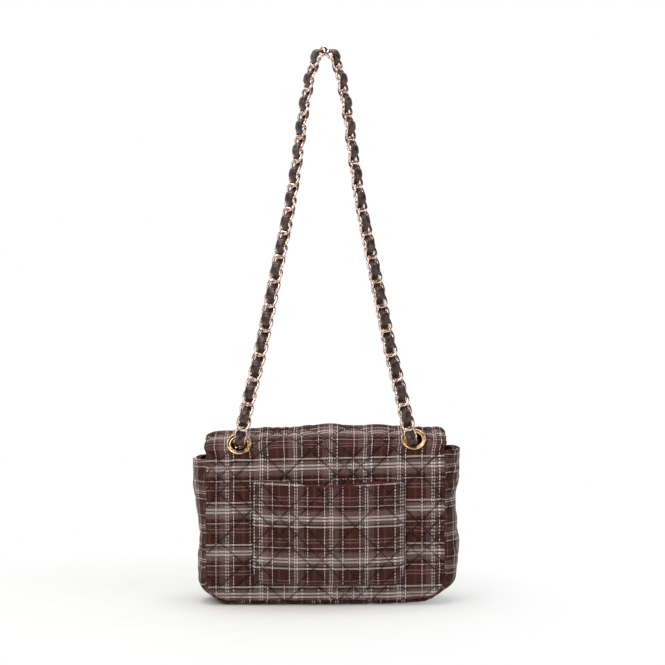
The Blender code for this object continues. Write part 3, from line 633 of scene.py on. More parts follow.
def shell(name: str, outer, inner, uv, seam=None, keep=None) -> bpy.types.Object:
    """A closed skin between two grids of points, smooth, with its UV map in metres.

    Args:
        name: the object's name.
        outer: rows by columns by 3 points of the outer face.
        inner: the same for the inner face.
        uv: rows by columns by 2.
        seam: how close each point is to a stitch line, or None.
        keep: rows - 1 by columns - 1 of the quads that are kept, or None for all.

    Returns:
        The object, linked to the scene.
    """
    rows, columns = outer.shape[:2]
    keep = np.ones((rows - 1, columns - 1), bool) if keep is None else keep
    below = rows * columns
    number = np.arange(below).reshape(rows, columns)
    corners = [number[:-1, :-1], number[:-1, 1:], number[1:, 1:], number[1:, :-1]]
    a, b, c, d = [corner[keep] for corner in corners]
    depth = np.linalg.norm(outer - inner, axis=2).ravel()
    split = (depth[a] + depth[c] < depth[b] + depth[d])[:, None]
    faces = np.where(split, np.stack([a, b, c], 1), np.stack([a, b, d], 1)).tolist()
    faces += np.where(split, np.stack([a, c, d], 1), np.stack([b, c, d], 1)).tolist()
    faces += (np.stack([a, d, c, b], 1) + below).tolist()
    padded = np.pad(keep, 1)
    neighbours = padded[:-2, 1:-1], padded[1:-1, 2:], padded[2:, 1:-1], padded[1:-1, :-2]
    for k, neighbour in enumerate(neighbours):
        p, q = (corners[i % 4][~neighbour & keep] for i in (k, k + 1))
        faces += np.stack([q, p, p + below, q + below], 1).tolist()
    points = np.concatenate([outer.reshape(-1, 3), inner.reshape(-1, 3)])
    mesh = new_mesh(name, points.tolist(), [], faces, np.concatenate([uv.reshape(-1, 2)] * 2))
    if seam is not None:
        # the tartan's material paints shade in the stitch creases from this mark
        marks = np.concatenate([seam.ravel(), np.zeros(below)]).astype(np.float32)
        mesh.attributes.new("seam", "FLOAT", "POINT").data.foreach_set("value", marks)
    return add_piece(name, mesh)


def add_piece(name: str, mesh: bpy.types.Mesh, sharp: float = 50.0) -> bpy.types.Object:
    """Tidies a closed mesh, shades it smooth and puts it in the scene.

    Args:
        name: the object's name.
        mesh: the closed mesh.
        sharp: edges above this angle in degrees stay sharp.

    Returns:
        The object.
    """
    bm = bmesh.new()
    bm.from_mesh(mesh)
    bmesh.ops.delete(bm, geom=[v for v in bm.verts if not v.link_faces], context="VERTS")
    bmesh.ops.recalc_face_normals(bm, faces=bm.faces)
    bm.to_mesh(mesh)
    bm.free()
    mesh.shade_smooth()
    mesh.set_sharp_from_angle(angle=math.radians(sharp))
    return new_object(name, mesh)


def softened(profile, radius: float, closed: bool) -> list:
    """Rounds the corners of a profile of (radius, height) points, apart from an open one's ends."""
    steps = 4
    made = []
    for i, here in enumerate(profile):
        if not closed and i in (0, len(profile) - 1):
            made.append(here)
            continue
        corner = Vector(here)
        back, on = Vector(profile[i - 1]) - corner, Vector(profile[(i + 1) % len(profile)]) - corner
        first, last = (corner + way.normalized() * min(radius, 0.45 * way.length) for way in (back, on))
        for t in (k / steps for k in range(steps + 1)):
            made.append(tuple(first * (1 - t) ** 2 + corner * 2 * t * (1 - t) + last * t**2))
    return made


def lathe(name: str, profile, sides: int, place: Matrix, solid: bool) -> bpy.types.Object:
    """Turns (radius, height) points about the local Z axis.

    Args:
        name: the object's name.
        profile: the points; a solid profile starts and ends on the axis, others are closed loops.
        sides: how many steps one turn has.
        place: the local frame.
        solid: whether the ends lie on the axis.

    Returns:
        The object.
    """
    bm = bmesh.new()
    ends = []
    if solid:
        ends = [bm.verts.new((0, 0, profile[i][1])) for i in (0, -1)]
        profile = profile[1:-1]
    rings = []
    for i in range(sides):
        turn = 2 * math.pi * i / sides
        rings.append([bm.verts.new((r * math.cos(turn), r * math.sin(turn), h)) for r, h in profile])
    count = len(profile)
    for here, there in zip(rings, rings[1:] + rings[:1]):
        for k in range(count - 1 if solid else count):
            m = (k + 1) % count
            bm.faces.new((here[k], there[k], there[m], here[m]))
        if solid:
            bm.faces.new((ends[0], there[0], here[0]))
            bm.faces.new((ends[1], here[-1], there[-1]))
    bmesh.ops.transform(bm, matrix=place, verts=bm.verts)
    return add_piece(name, mesh_from(name, bm), 40.0)


def ring_faces(rows: int, sides: int, closed: bool) -> list:
    """Quads between rings of points that follow each other, round to the first ring if closed."""
    faces = []
    for row in range(rows if closed else rows - 1):
        here, there = row * sides, (row + 1) % rows * sides
        for k in range(sides):
            m = (k + 1) % sides
            faces.append((here + k, here + m, there + m, there + k))
    return faces


def band(name: str, line, across, half_widths, half_depths) -> bpy.types.Object:
    """A soft strip with rounded edges along a line, closed at both ends.

    Args:
        name: the object's name.
        line: n by 3 points of its middle.
        across: n by 3 directions across its face.
        half_widths: n half widths.
        half_depths: n half thicknesses.

    Returns:
        The object, with its UV map in metres round and along it.
    """
    sides = 14
    line, across = np.asarray(line, float), np.asarray(across, float)
    along = np.gradient(line, axis=0)
    along /= np.linalg.norm(along, axis=1)[:, None]
    across = across - along * np.sum(across * along, axis=1)[:, None]
    across /= np.linalg.norm(across, axis=1)[:, None]
    face = np.cross(across, along)
    turn = 2 * np.pi * (np.arange(sides) + 0.5) / sides
    wide = np.sign(np.cos(turn)) * np.abs(np.cos(turn)) ** 0.55
    deep = np.sign(np.sin(turn)) * np.abs(np.sin(turn)) ** 0.75
    half_widths = np.broadcast_to(half_widths, len(line))
    half_depths = np.broadcast_to(half_depths, len(line))
    points = (
        line[:, None]
        + across[:, None] * (wide[None, :, None] * half_widths[:, None, None])
        + face[:, None] * (deep[None, :, None] * half_depths[:, None, None])
    )
    count = len(line) * sides
    faces = ring_faces(len(line), sides, closed=False)
    faces += [tuple(range(sides)), tuple(range(count - sides, count))]
    run = np.concatenate([[0], np.cumsum(np.linalg.norm(np.diff(line, axis=0), axis=1))])
    round_it = np.arange(sides) * (half_widths.mean() * 4.4 / sides)
    uv = np.stack(np.meshgrid(round_it, run), axis=-1).reshape(-1, 2)
    return add_piece(name, new_mesh(name, points.reshape(-1, 3).tolist(), [], faces, uv))


class NodesJob:
    """Runs a Geometry Nodes tree on a mesh and keeps its result as a plain mesh."""

    def __init__(self, tree: bpy.types.GeometryNodeTree, **values) -> None:
        """Keeps the tree and its inputs' values, by socket name with _ for each space."""
        self.tree = tree
        self.values = {key.replace("_", " "): value for key, value in values.items()}

    def run(self, name: str, carrier: bpy.types.Mesh) -> bpy.types.Object:
        """Evaluates the tree on a carrier mesh.

        Args:
            name: the result's name.
            carrier: the mesh that the tree reads.

        Returns:
            The result as an object with a plain mesh.
        """
        holder = new_object(name + "_carrier", carrier)
        step = holder.modifiers.new("nodes", "NODES")
        step.node_group = self.tree
        for item in self.tree.interface.items_tree:
            if item.item_type == "SOCKET" and item.in_out == "INPUT" and item.name in self.values:
                step[item.identifier] = self.values[item.name]
        graph = bpy.context.evaluated_depsgraph_get()
        mesh = bpy.data.meshes.new_from_object(holder.evaluated_get(graph))
        holder.modifiers.remove(step)
        bpy.data.objects.remove(holder, do_unlink=True)
        mesh.name = name
        mesh.shade_smooth()
        return new_object(name, mesh)


def new_nodes_tree(name: str, sockets) -> tuple:
    """A Geometry Nodes tree with named inputs.

    Args:
        name: the tree's name.
        sockets: (name, kind of socket, default or None) of each input after the geometry.

    Returns:
        The tree and its input node's sockets.
    """
    tree = bpy.data.node_groups.new(name, "GeometryNodeTree")
    for title, kind, default in (("Geometry", "Geometry", None), *sockets):
        socket = tree.interface.new_socket(title, in_out="INPUT", socket_type="NodeSocket" + kind)
        if default is not None:
            socket.default_value = default
    tree.interface.new_socket("Geometry", in_out="OUTPUT", socket_type="NodeSocketGeometry")
    return tree, tree.nodes.new("NodeGroupInput").outputs


def end_tree(tree, material, **inputs) -> bpy.types.GeometryNodeTree:
    """Ends a tree in instances on points, Realize Instances and Set Material."""
    made = add_node(tree, "GeometryNodeInstanceOnPoints", inputs).outputs[0]
    real = add_node(tree, "GeometryNodeRealizeInstances", {"Geometry": made}).outputs[0]
    done = add_node(tree, "GeometryNodeSetMaterial", {"Geometry": real, "Material": material}).outputs[0]
    add_node(tree, "NodeGroupOutput", {"Geometry": done})
    return tree


def stitch_tree() -> bpy.types.GeometryNodeTree:
    """Running stitches: short plump threads at even spacing along every line of a mesh."""
    tree, value = new_nodes_tree(
        "running stitches",
        (
            ("Stitch Spacing", "Float", 3.4 * MM),
            ("Stitch Length", "Float", 2.5 * MM),
            ("Thread Radius", "Float", 0.2 * MM),
            ("Wander", "Float", 0.12),
            ("Seed", "Int", 7),
            ("Thread", "Material", None),
        ),
    )
    curve = add_node(tree, "GeometryNodeMeshToCurve", {"Mesh": value["Geometry"]}).outputs[0]
    inputs = {"Curve": curve, "Length": value["Stitch Spacing"]}
    spaced = add_node(tree, "GeometryNodeResampleCurve", inputs, mode="LENGTH").outputs[0]
    tangent = add_node(tree, "GeometryNodeInputTangent").outputs[0]
    back = worked(tree, value["Wander"], ("MULTIPLY", -1.0))
    inputs = {"Min": back, "Max": value["Wander"], "Seed": value["Seed"]}
    jitter = add_node(tree, "FunctionNodeRandomValue", inputs, data_type="FLOAT_VECTOR").outputs[0]
    aim = add_node(tree, "ShaderNodeVectorMath", {0: tangent, 1: jitter}, operation="ADD").outputs[0]
    turn = add_node(tree, "FunctionNodeAlignRotationToVector", {"Vector": aim}, axis="Z").outputs[0]
    half = worked(tree, value["Stitch Length"], ("DIVIDE", 2.0))
    radius = value["Thread Radius"]
    size = add_node(tree, "ShaderNodeCombineXYZ", {0: radius, 1: radius, 2: half}).outputs[0]
    bead = add_node(tree, "GeometryNodeMeshUVSphere", {"Segments": 5, "Rings": 5, "Radius": 1.0}).outputs[0]
    return end_tree(tree, value["Thread"], Points=spaced, Instance=bead, Rotation=turn, Scale=size)


def link_tree() -> bpy.types.GeometryNodeTree:
    """Chain links: one link on every point, turned by the point's own directions."""
    tree, value = new_nodes_tree("curb links", (("Link", "Object", None), ("Plating", "Material", None)))
    link = add_node(tree, "GeometryNodeObjectInfo", {"Object": value["Link"]}).outputs["Geometry"]
    kind = "GeometryNodeInputNamedAttribute"
    along, outward, stretch = (
        add_node(tree, kind, {"Name": word}, data_type="FLOAT_VECTOR").outputs[0]
        for word in ("along", "outward", "stretch")
    )
    turn = add_node(
        tree, "FunctionNodeAxesToRotation", {"Primary Axis": along, "Secondary Axis": outward},
        primary_axis="X", secondary_axis="Z",
    ).outputs[0]  # fmt: skip
    points = value["Geometry"]
    return end_tree(tree, value["Plating"], Points=points, Instance=link, Rotation=turn, Scale=stretch)


class Stitcher:
    """Sews running stitches along lines on a piece."""

    def __init__(self, finishes: Finishes) -> None:
        """Builds the tree once for all pieces."""
        self.job = NodesJob(stitch_tree(), Thread=finishes.thread)

    def sew(self, name: str, runs) -> bpy.types.Object:
        """Sews along runs of points, and returns all the stitches as one object."""
        points, edges = [], []
        for run in runs:
            start = len(points)
            points += run.tolist()
            edges += [(start + i, start + i + 1) for i in range(len(run) - 1)]
        return self.job.run(name, new_mesh(name, points, edges, []))


def split_runs(points, wanted) -> list:
    """The stretches of a line of points where wanted is true, apart from very short ones."""
    runs, first = [], None
    for i, good in enumerate([*wanted, False]):
        if good and first is None:
            first = i
        elif not good and first is not None:
            if i - first >= SHORTEST_RUN:
                runs.append(points[first:i])
            first = None
    return runs


@dataclass(frozen=True)
class BagForm:
    """The bag's own curve: straight up the back, over a half round top and down the front.

    A station is the length along that curve from the base, on the outermost layer. The radii are
    those of the outer and inner faces of each layer round the top.
    """

    half_width: float = 105 * MM
    outer_r: float = 37.5 * MM
    arch_z: float = 122.5 * MM
    cloth: float = 4.0 * MM
    lining: float = 1.0 * MM
    ply_gap: float = 0.3 * MM
    flap_standoff: float = 4.0 * MM
    lining_r: float = outer_r - cloth - ply_gap
    inside_r: float = lining_r - lining
    front_r: float = inside_r - flap_standoff
    front_lining_r: float = front_r - cloth - ply_gap
    front_inside_r: float = front_lining_r - lining
    arch_length: float = math.pi * outer_r
    last_station: float = 2 * arch_z + arch_length
    corner_r: float = 22 * MM
    tuck: float = 4.5 * MM
    gusset_top: float = 133 * MM
    front_top: float = 130 * MM
    flap_edge: float = 48 * MM
    flap_corner_r: float = 25 * MM
    meet_turn: float = math.radians(99)
    foot_lift: float = 1.8 * MM
    top_spread: float = 0.022
    ground: float = 0.3 * MM

    def station_at(self, turn: float) -> float:
        """Station at an angle round the arch."""
        return self.arch_z + turn * self.outer_r

    def front_station(self, z: float, radius: float) -> float:
        """Station at a height on the front, for a layer's radius."""
        if z <= self.arch_z:
            return self.last_station - z
        return self.station_at(math.pi - math.asin((z - self.arch_z) / radius))

    def place(self, x, station, radius):
        """Points at a width, a station and a distance from the bag's middle plane."""
        turn = np.clip((station - self.arch_z) / self.outer_r, 0, math.pi)
        over = np.maximum(station - self.arch_z - self.arch_length, 0)
        y = -radius * np.cos(turn)
        z = np.minimum(station, self.arch_z) + radius * np.sin(turn) - over
        return np.stack(np.broadcast_arrays(x, y, z), axis=-1)

    def lean(self, x, z):
        """How far the cloth is pulled up on the right and hangs down on the left."""
        return x * (0.003 + 0.021 * smoothstep(z / (150 * MM)))

    def settle(self, points):
        """Moves points as the soft bag has settled: its top sinks, and its right foot lifts."""
        x, z = points[..., 0], points[..., 2]
        sink = from_table(x, SINK_AT, SINK, 3 * MM) * smoothstep((z - 134 * MM) / (26 * MM))
        foot = self.foot_lift * smoothstep((x - 45 * MM) / (60 * MM)) * (1 - smoothstep(z / (50 * MM)))
        wide = 1 + self.top_spread * smoothstep((z - 131 * MM) / (14 * MM))
        settled = np.stack([x * wide, points[..., 1], z + self.lean(x, z) - sink + foot], axis=-1)
        settled[..., 2] = np.maximum(settled[..., 2], self.ground)
        return settled

    def edge_y(self, radius: float, z):
        """Where a side strip's edge meets a wall layer, which leans in above the arch's foot."""
        return np.sqrt(radius**2 - np.maximum(0.0, z - self.arch_z) ** 2)


FORM = BagForm()
SINK_AT = np.array([-108, -104, -98, -77, -55, -23, -5, 4, 13, 25, 36, 47, 60, 85, 95, 103, 108]) * MM
SINK = np.array([10.5, 8.4, 7, 5.9, 4.2, 4.1, 2.7, 2.1, 2.9, 4.6, 3.8, 3.9, 5.2, 7, 6.8, 8, 11.5]) * MM


@dataclass(frozen=True)
class EyeletSeat:
    """Where each eyelet sits, and how it presses the cloth."""

    x: float = 77.2 * MM
    shift: float = 0.8 * MM
    turn: float = math.radians(35.4)
    tilt: float = math.radians(39)
    hole_r: float = 7.25 * MM
    flange_r: float = 11.3 * MM
    wall: float = 0.85 * MM
    dome: float = 2.3 * MM
    seat: float = -1.70 * MM
    spread: float = 5.0 * MM
    near: float = 16 * MM

    @property
    def out(self) -> np.ndarray:
        """The direction that an eyelet faces."""
        return np.array([0.0, -math.cos(self.tilt), math.sin(self.tilt)])

    def centre(self, side: int) -> np.ndarray:
        """The middle of an eyelet on the cloth's outer face."""
        point = FORM.place(side * self.x, FORM.station_at(self.turn), FORM.outer_r)
        return point + np.array([self.shift, 0, 1.12 * FORM.lean(point[0], point[2])])

    def frame(self, side: int) -> Matrix:
        """The eyelet's own frame, with Z outward."""
        out, across = Vector(self.out), Vector((1, 0, 0))
        place = Matrix((across, out.cross(across), out)).transposed().to_4x4()
        place.translation = Vector(self.centre(side))
        return place

    def radius_of(self, points, side: int):
        """Distance of points from an eyelet's axis, and their height along it.

        Points on the far side of the bag, which the axis also meets, count as far away.
        """
        rel = points - self.centre(side)
        height = rel @ self.out
        radius = np.linalg.norm(rel - height[..., None] * self.out, axis=-1)
        return np.where(np.abs(height) > self.near, 1.0, radius), height

    def press(self, points):
        """Presses the cloth down under both flanges."""
        for side in (-1, 1):
            radius, height = self.radius_of(points, side)
            share = smoothstep((radius - self.flange_r - 0.4 * MM) / self.spread)
            target = np.where(share < 1, self.seat * (1 - share) + height * share, height)
            points = points + (target - height)[..., None] * self.out
        return points

    def clear(self, points, margin: float):
        """True where points are further from both eyelets than the barrel and a margin."""
        good = np.ones(points.shape[:-1], bool)
        for side in (-1, 1):
            good &= self.radius_of(points, side)[0] > self.hole_r + self.wall + margin
        return good


SEAT = EyeletSeat()


@dataclass(frozen=True)
class PocketPlan:
    """Outline of the slip pocket on the back."""

    middle: float = 3.0 * MM
    half: float = 67 * MM
    bottom: float = 18.2 * MM
    top: float = 110.6 * MM
    corner_r: float = 15 * MM

    def mouth(self, x):
        """Height of the mouth, which sags between its two sewn corners."""
        return from_table(x, MOUTH_AT, MOUTH, 2.5 * MM)

    def lining_top(self, x):
        """Height of the lining behind the mouth, which the eye sees as a thin wine line."""
        return from_table(x, LINING_AT, LINING_TOP, 3 * MM)

    def inside(self, x, z):
        """Distance inside the pocket's sides and bottom."""
        return rounded_distance(x - self.middle, z - self.bottom, self.half, self.corner_r)


POCKET = PocketPlan()
MOUTH_AT = np.array([-64, -61, -55, -40, -31, -24, -18, -9, 0, 9, 17, 23, 32, 41, 51, 56, 61, 67, 70]) * MM
MOUTH = np.array([107.6, 109.5, 110.5, 110, 109.5, 107.9, 106.1, 104.9, 104.3, 104.3, 105.2, 106, 106.9,
                  107.2, 107.5, 108.7, 109.6, 109, 107.3]) * MM  # fmt: skip
LINING_AT = np.array([-64, -30, -18, 0, 12, 20, 30, 41, 51, 60, 70]) * MM
LINING_TOP = np.array([104, 105.4, 105.4, 105.3, 105.6, 107, 108.2, 109.2, 109.3, 108, 104]) * MM


@dataclass(frozen=True)
class Ripple:
    """Uneven waves in a cloth, about one size apart."""

    height: float
    size: float
    seed: int

    def at(self, x, s):
        """Height of the waves at a place."""
        return self.height * value_noise(x, s, self.size, self.seed)


@dataclass
class Cloth:
    """A quilted part of the bag, with its stitches and its lining."""

    finishes: Finishes
    stitcher: Stitcher

    def quilted(self, name: str, faces, uv, seam, fill: float, nodes, keep=None) -> bpy.types.Object:
        """Makes a padded piece of the tartan.

        Args:
            name: the piece's name.
            faces: the outer and the inner grid of points.
            uv: the tartan's own coordinates.
            seam: how close each point is to a stitch line.
            fill: how full the padding is; not used.
            nodes: the CAD nodes that the piece replaces.
            keep: the quads that are kept, or None for all.

        Returns:
            The piece.
        """
        piece = self.finishes.dress(shell(name, *faces, uv, seam, keep), Slot.TARTAN)
        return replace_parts(piece, *nodes)

    def lined(
        self, name: str, faces, uv, nodes=(), held: str = "stretched", keep=None
    ) -> bpy.types.Object:
        """Makes a lining from two grids of points.

        Args:
            name: the piece's name.
            faces: the two grids of points.
            uv: a pair of coordinate grids in metres.
            nodes: the CAD nodes that the piece replaces.
            held: how the sheet is held; not used.
            keep: the quads that are kept, or None for all.

        Returns:
            The piece.
        """
        piece = self.finishes.dress(shell(name, *faces, np.stack(uv, axis=-1), None, keep), Slot.LINING)
        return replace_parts(piece, *nodes) if nodes else piece


@dataclass
class BackAndFlap(Cloth):
    """One quilted cloth that is the back panel, the top and the flap, with its lining.

    It is made as two pieces that meet on the flap's top, because each piece may bend at one joint.
    """

    quilt: Quilting = Quilting(80.6 * MM, -33.1 * MM, gather=0.28 * MM)
    waves: Ripple = Ripple(0.35 * MM, 19 * MM, 3)
    lining_waves: tuple = (Ripple(0.16 * MM, 13 * MM, 21), Ripple(0.06 * MM, 4 * MM, 22))
    plateau: float = 1.0 * MM
    rim: float = 2.2 * MM
    stripe_at: float = -20.5 * MM
    white_row_at: float = 130.4 * MM
    lining_inset: float = 2.5 * MM
    hole_margin: float = 0.9 * MM
    stitch_margin: float = 4.5 * MM
    lining_margin: float = 1.1 * MM
    pocket_press: float = 0.7 * MM
    pocket_seam: float = 1.1 * MM

    @property
    def end(self) -> float:
        """Station of the flap's edge."""
        return FORM.front_station(FORM.flap_edge, FORM.outer_r)

    def outline(self, x, s):
        """Distance inside the cloth's outline."""
        back = rounded_distance(x, s, FORM.half_width, FORM.corner_r)
        flap = rounded_distance(x, self.end - s, FORM.half_width, FORM.flap_corner_r)
        return np.minimum(back, flap)

    def lift(self, x, s):
        """Height of the puffed outer face over the cloth's own radius."""
        height = self.quilt.relief(x, s, self.plateau)
        height = height + self.waves.at(x, s)
        z = s + self.tuck(s) + FORM.lean(x, s)
        pocket = POCKET.inside(x, z)
        under = smoothstep(pocket / (5 * MM)) * smoothstep((POCKET.mouth(x) - 4 * MM - z) / (6 * MM))
        height = height * (1 - 0.6 * under) - self.pocket_press * under
        seam = np.exp(-((pocket / (2.2 * MM)) ** 2)) * (z < POCKET.mouth(x) + 1 * MM)
        return height - self.pocket_seam * seam

    def outer(self, x, s):
        """Points of the outer face."""
        height = self.lift(x, s) - round_over(self.outline(x, s), self.rim)
        points = FORM.place(x, s, FORM.outer_r + height)
        points[..., 2] += self.tuck(s)
        pull = 1 - self.quilt.puff(np.sign(x) * (FORM.half_width - 3 * MM), s)
        pull = pull * smoothstep((np.abs(x) - 90 * MM) / (15 * MM))
        points[..., 0] += np.sign(x) * (0.4 * MM - 0.8 * MM * pull)
        return SEAT.press(FORM.settle(points))

    @staticmethod
    def tuck(s):
        """How far the cloth's foot is drawn up, over the base strip."""
        return FORM.tuck * np.clip(1 - s / (60 * MM), 0, 1)

    def inner(self, x, s):
        """Points of the inner face, which lies flat on the lining."""
        points = FORM.place(x, s, FORM.outer_r - FORM.cloth + round_over(self.outline(x, s), 1.2 * MM))
        points[..., 2] += self.tuck(s)
        return FORM.settle(points)

    def grid(self):
        """Columns and rows on the quilting's spacing, squeezed into the rounded outline."""
        x, s = self.quilt.grid(FORM.half_width, 0.0, self.end)
        cut = round_over(s, FORM.corner_r) + round_over(self.end - s, FORM.flap_corner_r)
        return squeezed(x, FORM.half_width, cut), s

    @staticmethod
    def halves(s, keep) -> list:
        """Which rows, and which kept quads, belong to the back's piece and to the flap's piece."""
        meet = int(np.argmin(np.abs(s[:, 0] - FORM.station_at(FORM.meet_turn))))
        parts = slice(0, meet + 1), slice(meet, None)
        return [(rows, keep[rows.start : (rows.stop or len(s)) - 1]) for rows in parts]

    def build(self) -> list:
        """Builds the cloth, its stitches and its lining."""
        x, s = self.grid()
        outer, inner = self.outer(x, s), self.inner(x, s)
        uv = np.stack([x - self.stripe_at, s + self.tuck(s) - self.white_row_at], axis=-1)
        seam = self.quilt.seam(x, s)
        middles = [(face[:-1, :-1] + face[1:, 1:]) / 2 for face in (outer, inner)]
        keep = SEAT.clear(middles[0], self.hole_margin) & SEAT.clear(middles[1], self.hole_margin)
        halves = self.halves(s, keep)
        names = "back_and_top", "top_and_flap"
        nodes = ("back_panel", "flap_top_panel"), ("flap_top_panel", "flap_front_panel")
        made = []
        for name, stands_for, (rows, kept) in zip(names, nodes, halves):
            faces = outer[rows], inner[rows]
            made.append(self.quilted(name, faces, uv[rows], seam[rows], 0.45, stands_for, kept))
        runs = self.stitch_runs(s[halves[1][0].start, 0])
        seams = [self.stitcher.sew(name + "_stitches", runs[i]) for i, name in enumerate(names)]
        linings = self.build_lining()
        for group in (made, seams, linings):
            bend(group[0], "bag", "flap_top", 42, 78)
            bend(group[1], "flap_top", "flap_front", 115, 155)
        return made + seams + linings

    def stitch_runs(self, meet: float) -> tuple:
        """Lines of the stitches on each of the two pieces, which meet at a station."""
        runs = [], []
        for x, s in self.quilt.lines(0.5, FORM.half_width):
            points = self.outer(x, s) + self.lift_out(s) * 0.1 * MM
            good = (self.outline(x, s) > 1.2 * MM) & SEAT.clear(points, self.stitch_margin)
            z = points[..., 2]
            good &= (POCKET.inside(x, z) < 0) | (z > POCKET.mouth(x) - 4 * MM)
            for found, wanted in zip(runs, (s < meet, s >= meet)):
                found += split_runs(points, good & wanted)
        return runs

    @staticmethod
    def lift_out(s):
        """The direction out of the cloth at a station."""
        zero = np.zeros_like(s)
        return FORM.place(zero, s, 1.0 + zero) - FORM.place(zero, s, zero)

    def build_lining(self) -> list:
        """The lining of the back and flap, in the same two pieces."""
        low, high = 6 * MM, self.end - self.lining_inset
        x, s = np.meshgrid(np.linspace(-1, 1, 135), np.arange(low, high, 1.5 * MM))
        top = FORM.gusset_top
        inset = np.interp(s, [top - 2 * MM, top + 4 * MM], [5.6 * MM, self.lining_inset])
        cut = round_over(s - low, FORM.corner_r - 5.6 * MM)
        cut = cut + round_over(high - s, FORM.flap_corner_r - self.lining_inset)
        x = x * (FORM.half_width - inset - cut)
        slow, fast = self.lining_waves
        ripple = slow.at(x, s) + fast.at(x, s)
        depths = 0.25 * MM, 0.85 * MM
        sheets = [FORM.settle(FORM.place(x, s, FORM.lining_r - depth + ripple)) for depth in depths]
        middle = (sheets[0][:-1, :-1] + sheets[1][1:, 1:]) / 2
        keep = SEAT.clear(middle, self.lining_margin)
        names = "back_lining_sheet", "flap_lining_sheet"
        nodes = ("back_lining", "flap_top_lining"), ("flap_top_lining", "flap_front_lining")
        return [
            self.lined(name, [sheet[rows] for sheet in sheets], (x[rows], s[rows]), stands_for, keep=kept)
            for name, stands_for, (rows, kept) in zip(names, nodes, self.halves(s, keep))
        ]


def bend(piece: bpy.types.Object, first: str, last: str, start: float, end: float) -> bpy.types.Object:
    """Bakes a piece's transform into its mesh, and returns the piece."""
    low, high = (FORM.place(0.0, FORM.station_at(math.radians(t)), FORM.outer_r) for t in (start, end))
    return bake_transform(piece)


@dataclass
class FrontWall(Cloth):
    """The quilted front panel under the flap, and its lining."""

    quilt: Quilting = Quilting(80.6 * MM, -33.1 * MM, depth=2.0 * MM, gather=0.2 * MM, fineness=5)
    lining_waves: Ripple = Ripple(0.12 * MM, 12 * MM, 31)
    plateau: float = 0.2 * MM
    rim: float = 1.9 * MM
    snap_z: float = 68 * MM

    @property
    def top(self) -> float:
        """Station of the panel's top edge."""
        return FORM.front_station(FORM.front_top, FORM.front_r)

    def outline(self, x, s):
        """Distance inside the panel's outline."""
        low = FORM.last_station - s
        return np.minimum(rounded_distance(x, low, FORM.half_width, FORM.corner_r), s - self.top)

    def from_snap(self, x, s):
        """Distance from the middle of the snap."""
        return np.hypot(x, FORM.last_station - s - self.snap_z)

    def outer(self, x, s):
        """Points of the outer face, pressed flat under the snap."""
        height = self.quilt.relief(x, s, self.plateau)
        height = height * smoothstep((self.from_snap(x, s) - 8 * MM) / (4 * MM))
        return self.settled(x, s, FORM.front_r + height - round_over(self.outline(x, s), self.rim))

    @staticmethod
    def settled(x, s, radius):
        """Points at a radius, with the foot drawn up over the base strip."""
        points = FORM.place(x, s, radius)
        points[..., 2] += BackAndFlap.tuck(FORM.last_station - s)
        return FORM.settle(points)

    def build(self) -> list:
        """Builds the panel, its stitches and its lining."""
        half, foot = FORM.half_width, FORM.last_station
        x, s = self.quilt.grid(half, self.top, foot)
        x = squeezed(x, half, round_over(foot - s, FORM.corner_r))
        inner = self.settled(x, s, FORM.front_r - FORM.cloth + round_over(self.outline(x, s), 1.0 * MM))
        uv = np.stack([x + 20.5 * MM, s - 0.2 * MM], axis=-1)
        faces = self.outer(x, s), inner
        panel = self.quilted("front_wall", faces, uv, self.quilt.seam(x, s), 0.45, ["front_panel"])
        runs = []
        for x, s in self.quilt.lines(0.6, half):
            good = (self.outline(x, s) > 1.2 * MM) & (self.from_snap(x, s) > 9 * MM)
            runs += split_runs(self.outer(x, s), good)
        seams = self.stitcher.sew("front_wall_stitches", runs)
        top = FORM.front_station(FORM.front_top, FORM.front_lining_r) + 0.4 * MM
        foot = foot - 7.2 * MM
        x, s = np.meshgrid(np.linspace(-1, 1, 90), np.linspace(top, foot, 70))
        x = x * (half - 5.7 * MM - round_over(foot - s, 11 * MM))
        ripple = self.lining_waves.at(x, s)
        radii = [FORM.front_lining_r - depth + ripple for depth in (0.2 * MM, 0.8 * MM)]
        sheets = [FORM.settle(FORM.place(x, s, radius)) for radius in radii]
        lining = self.lined("front_lining_sheet", sheets, (x, s), ["front_lining"])
        return [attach(piece, "bag") for piece in (panel, seams, lining)]


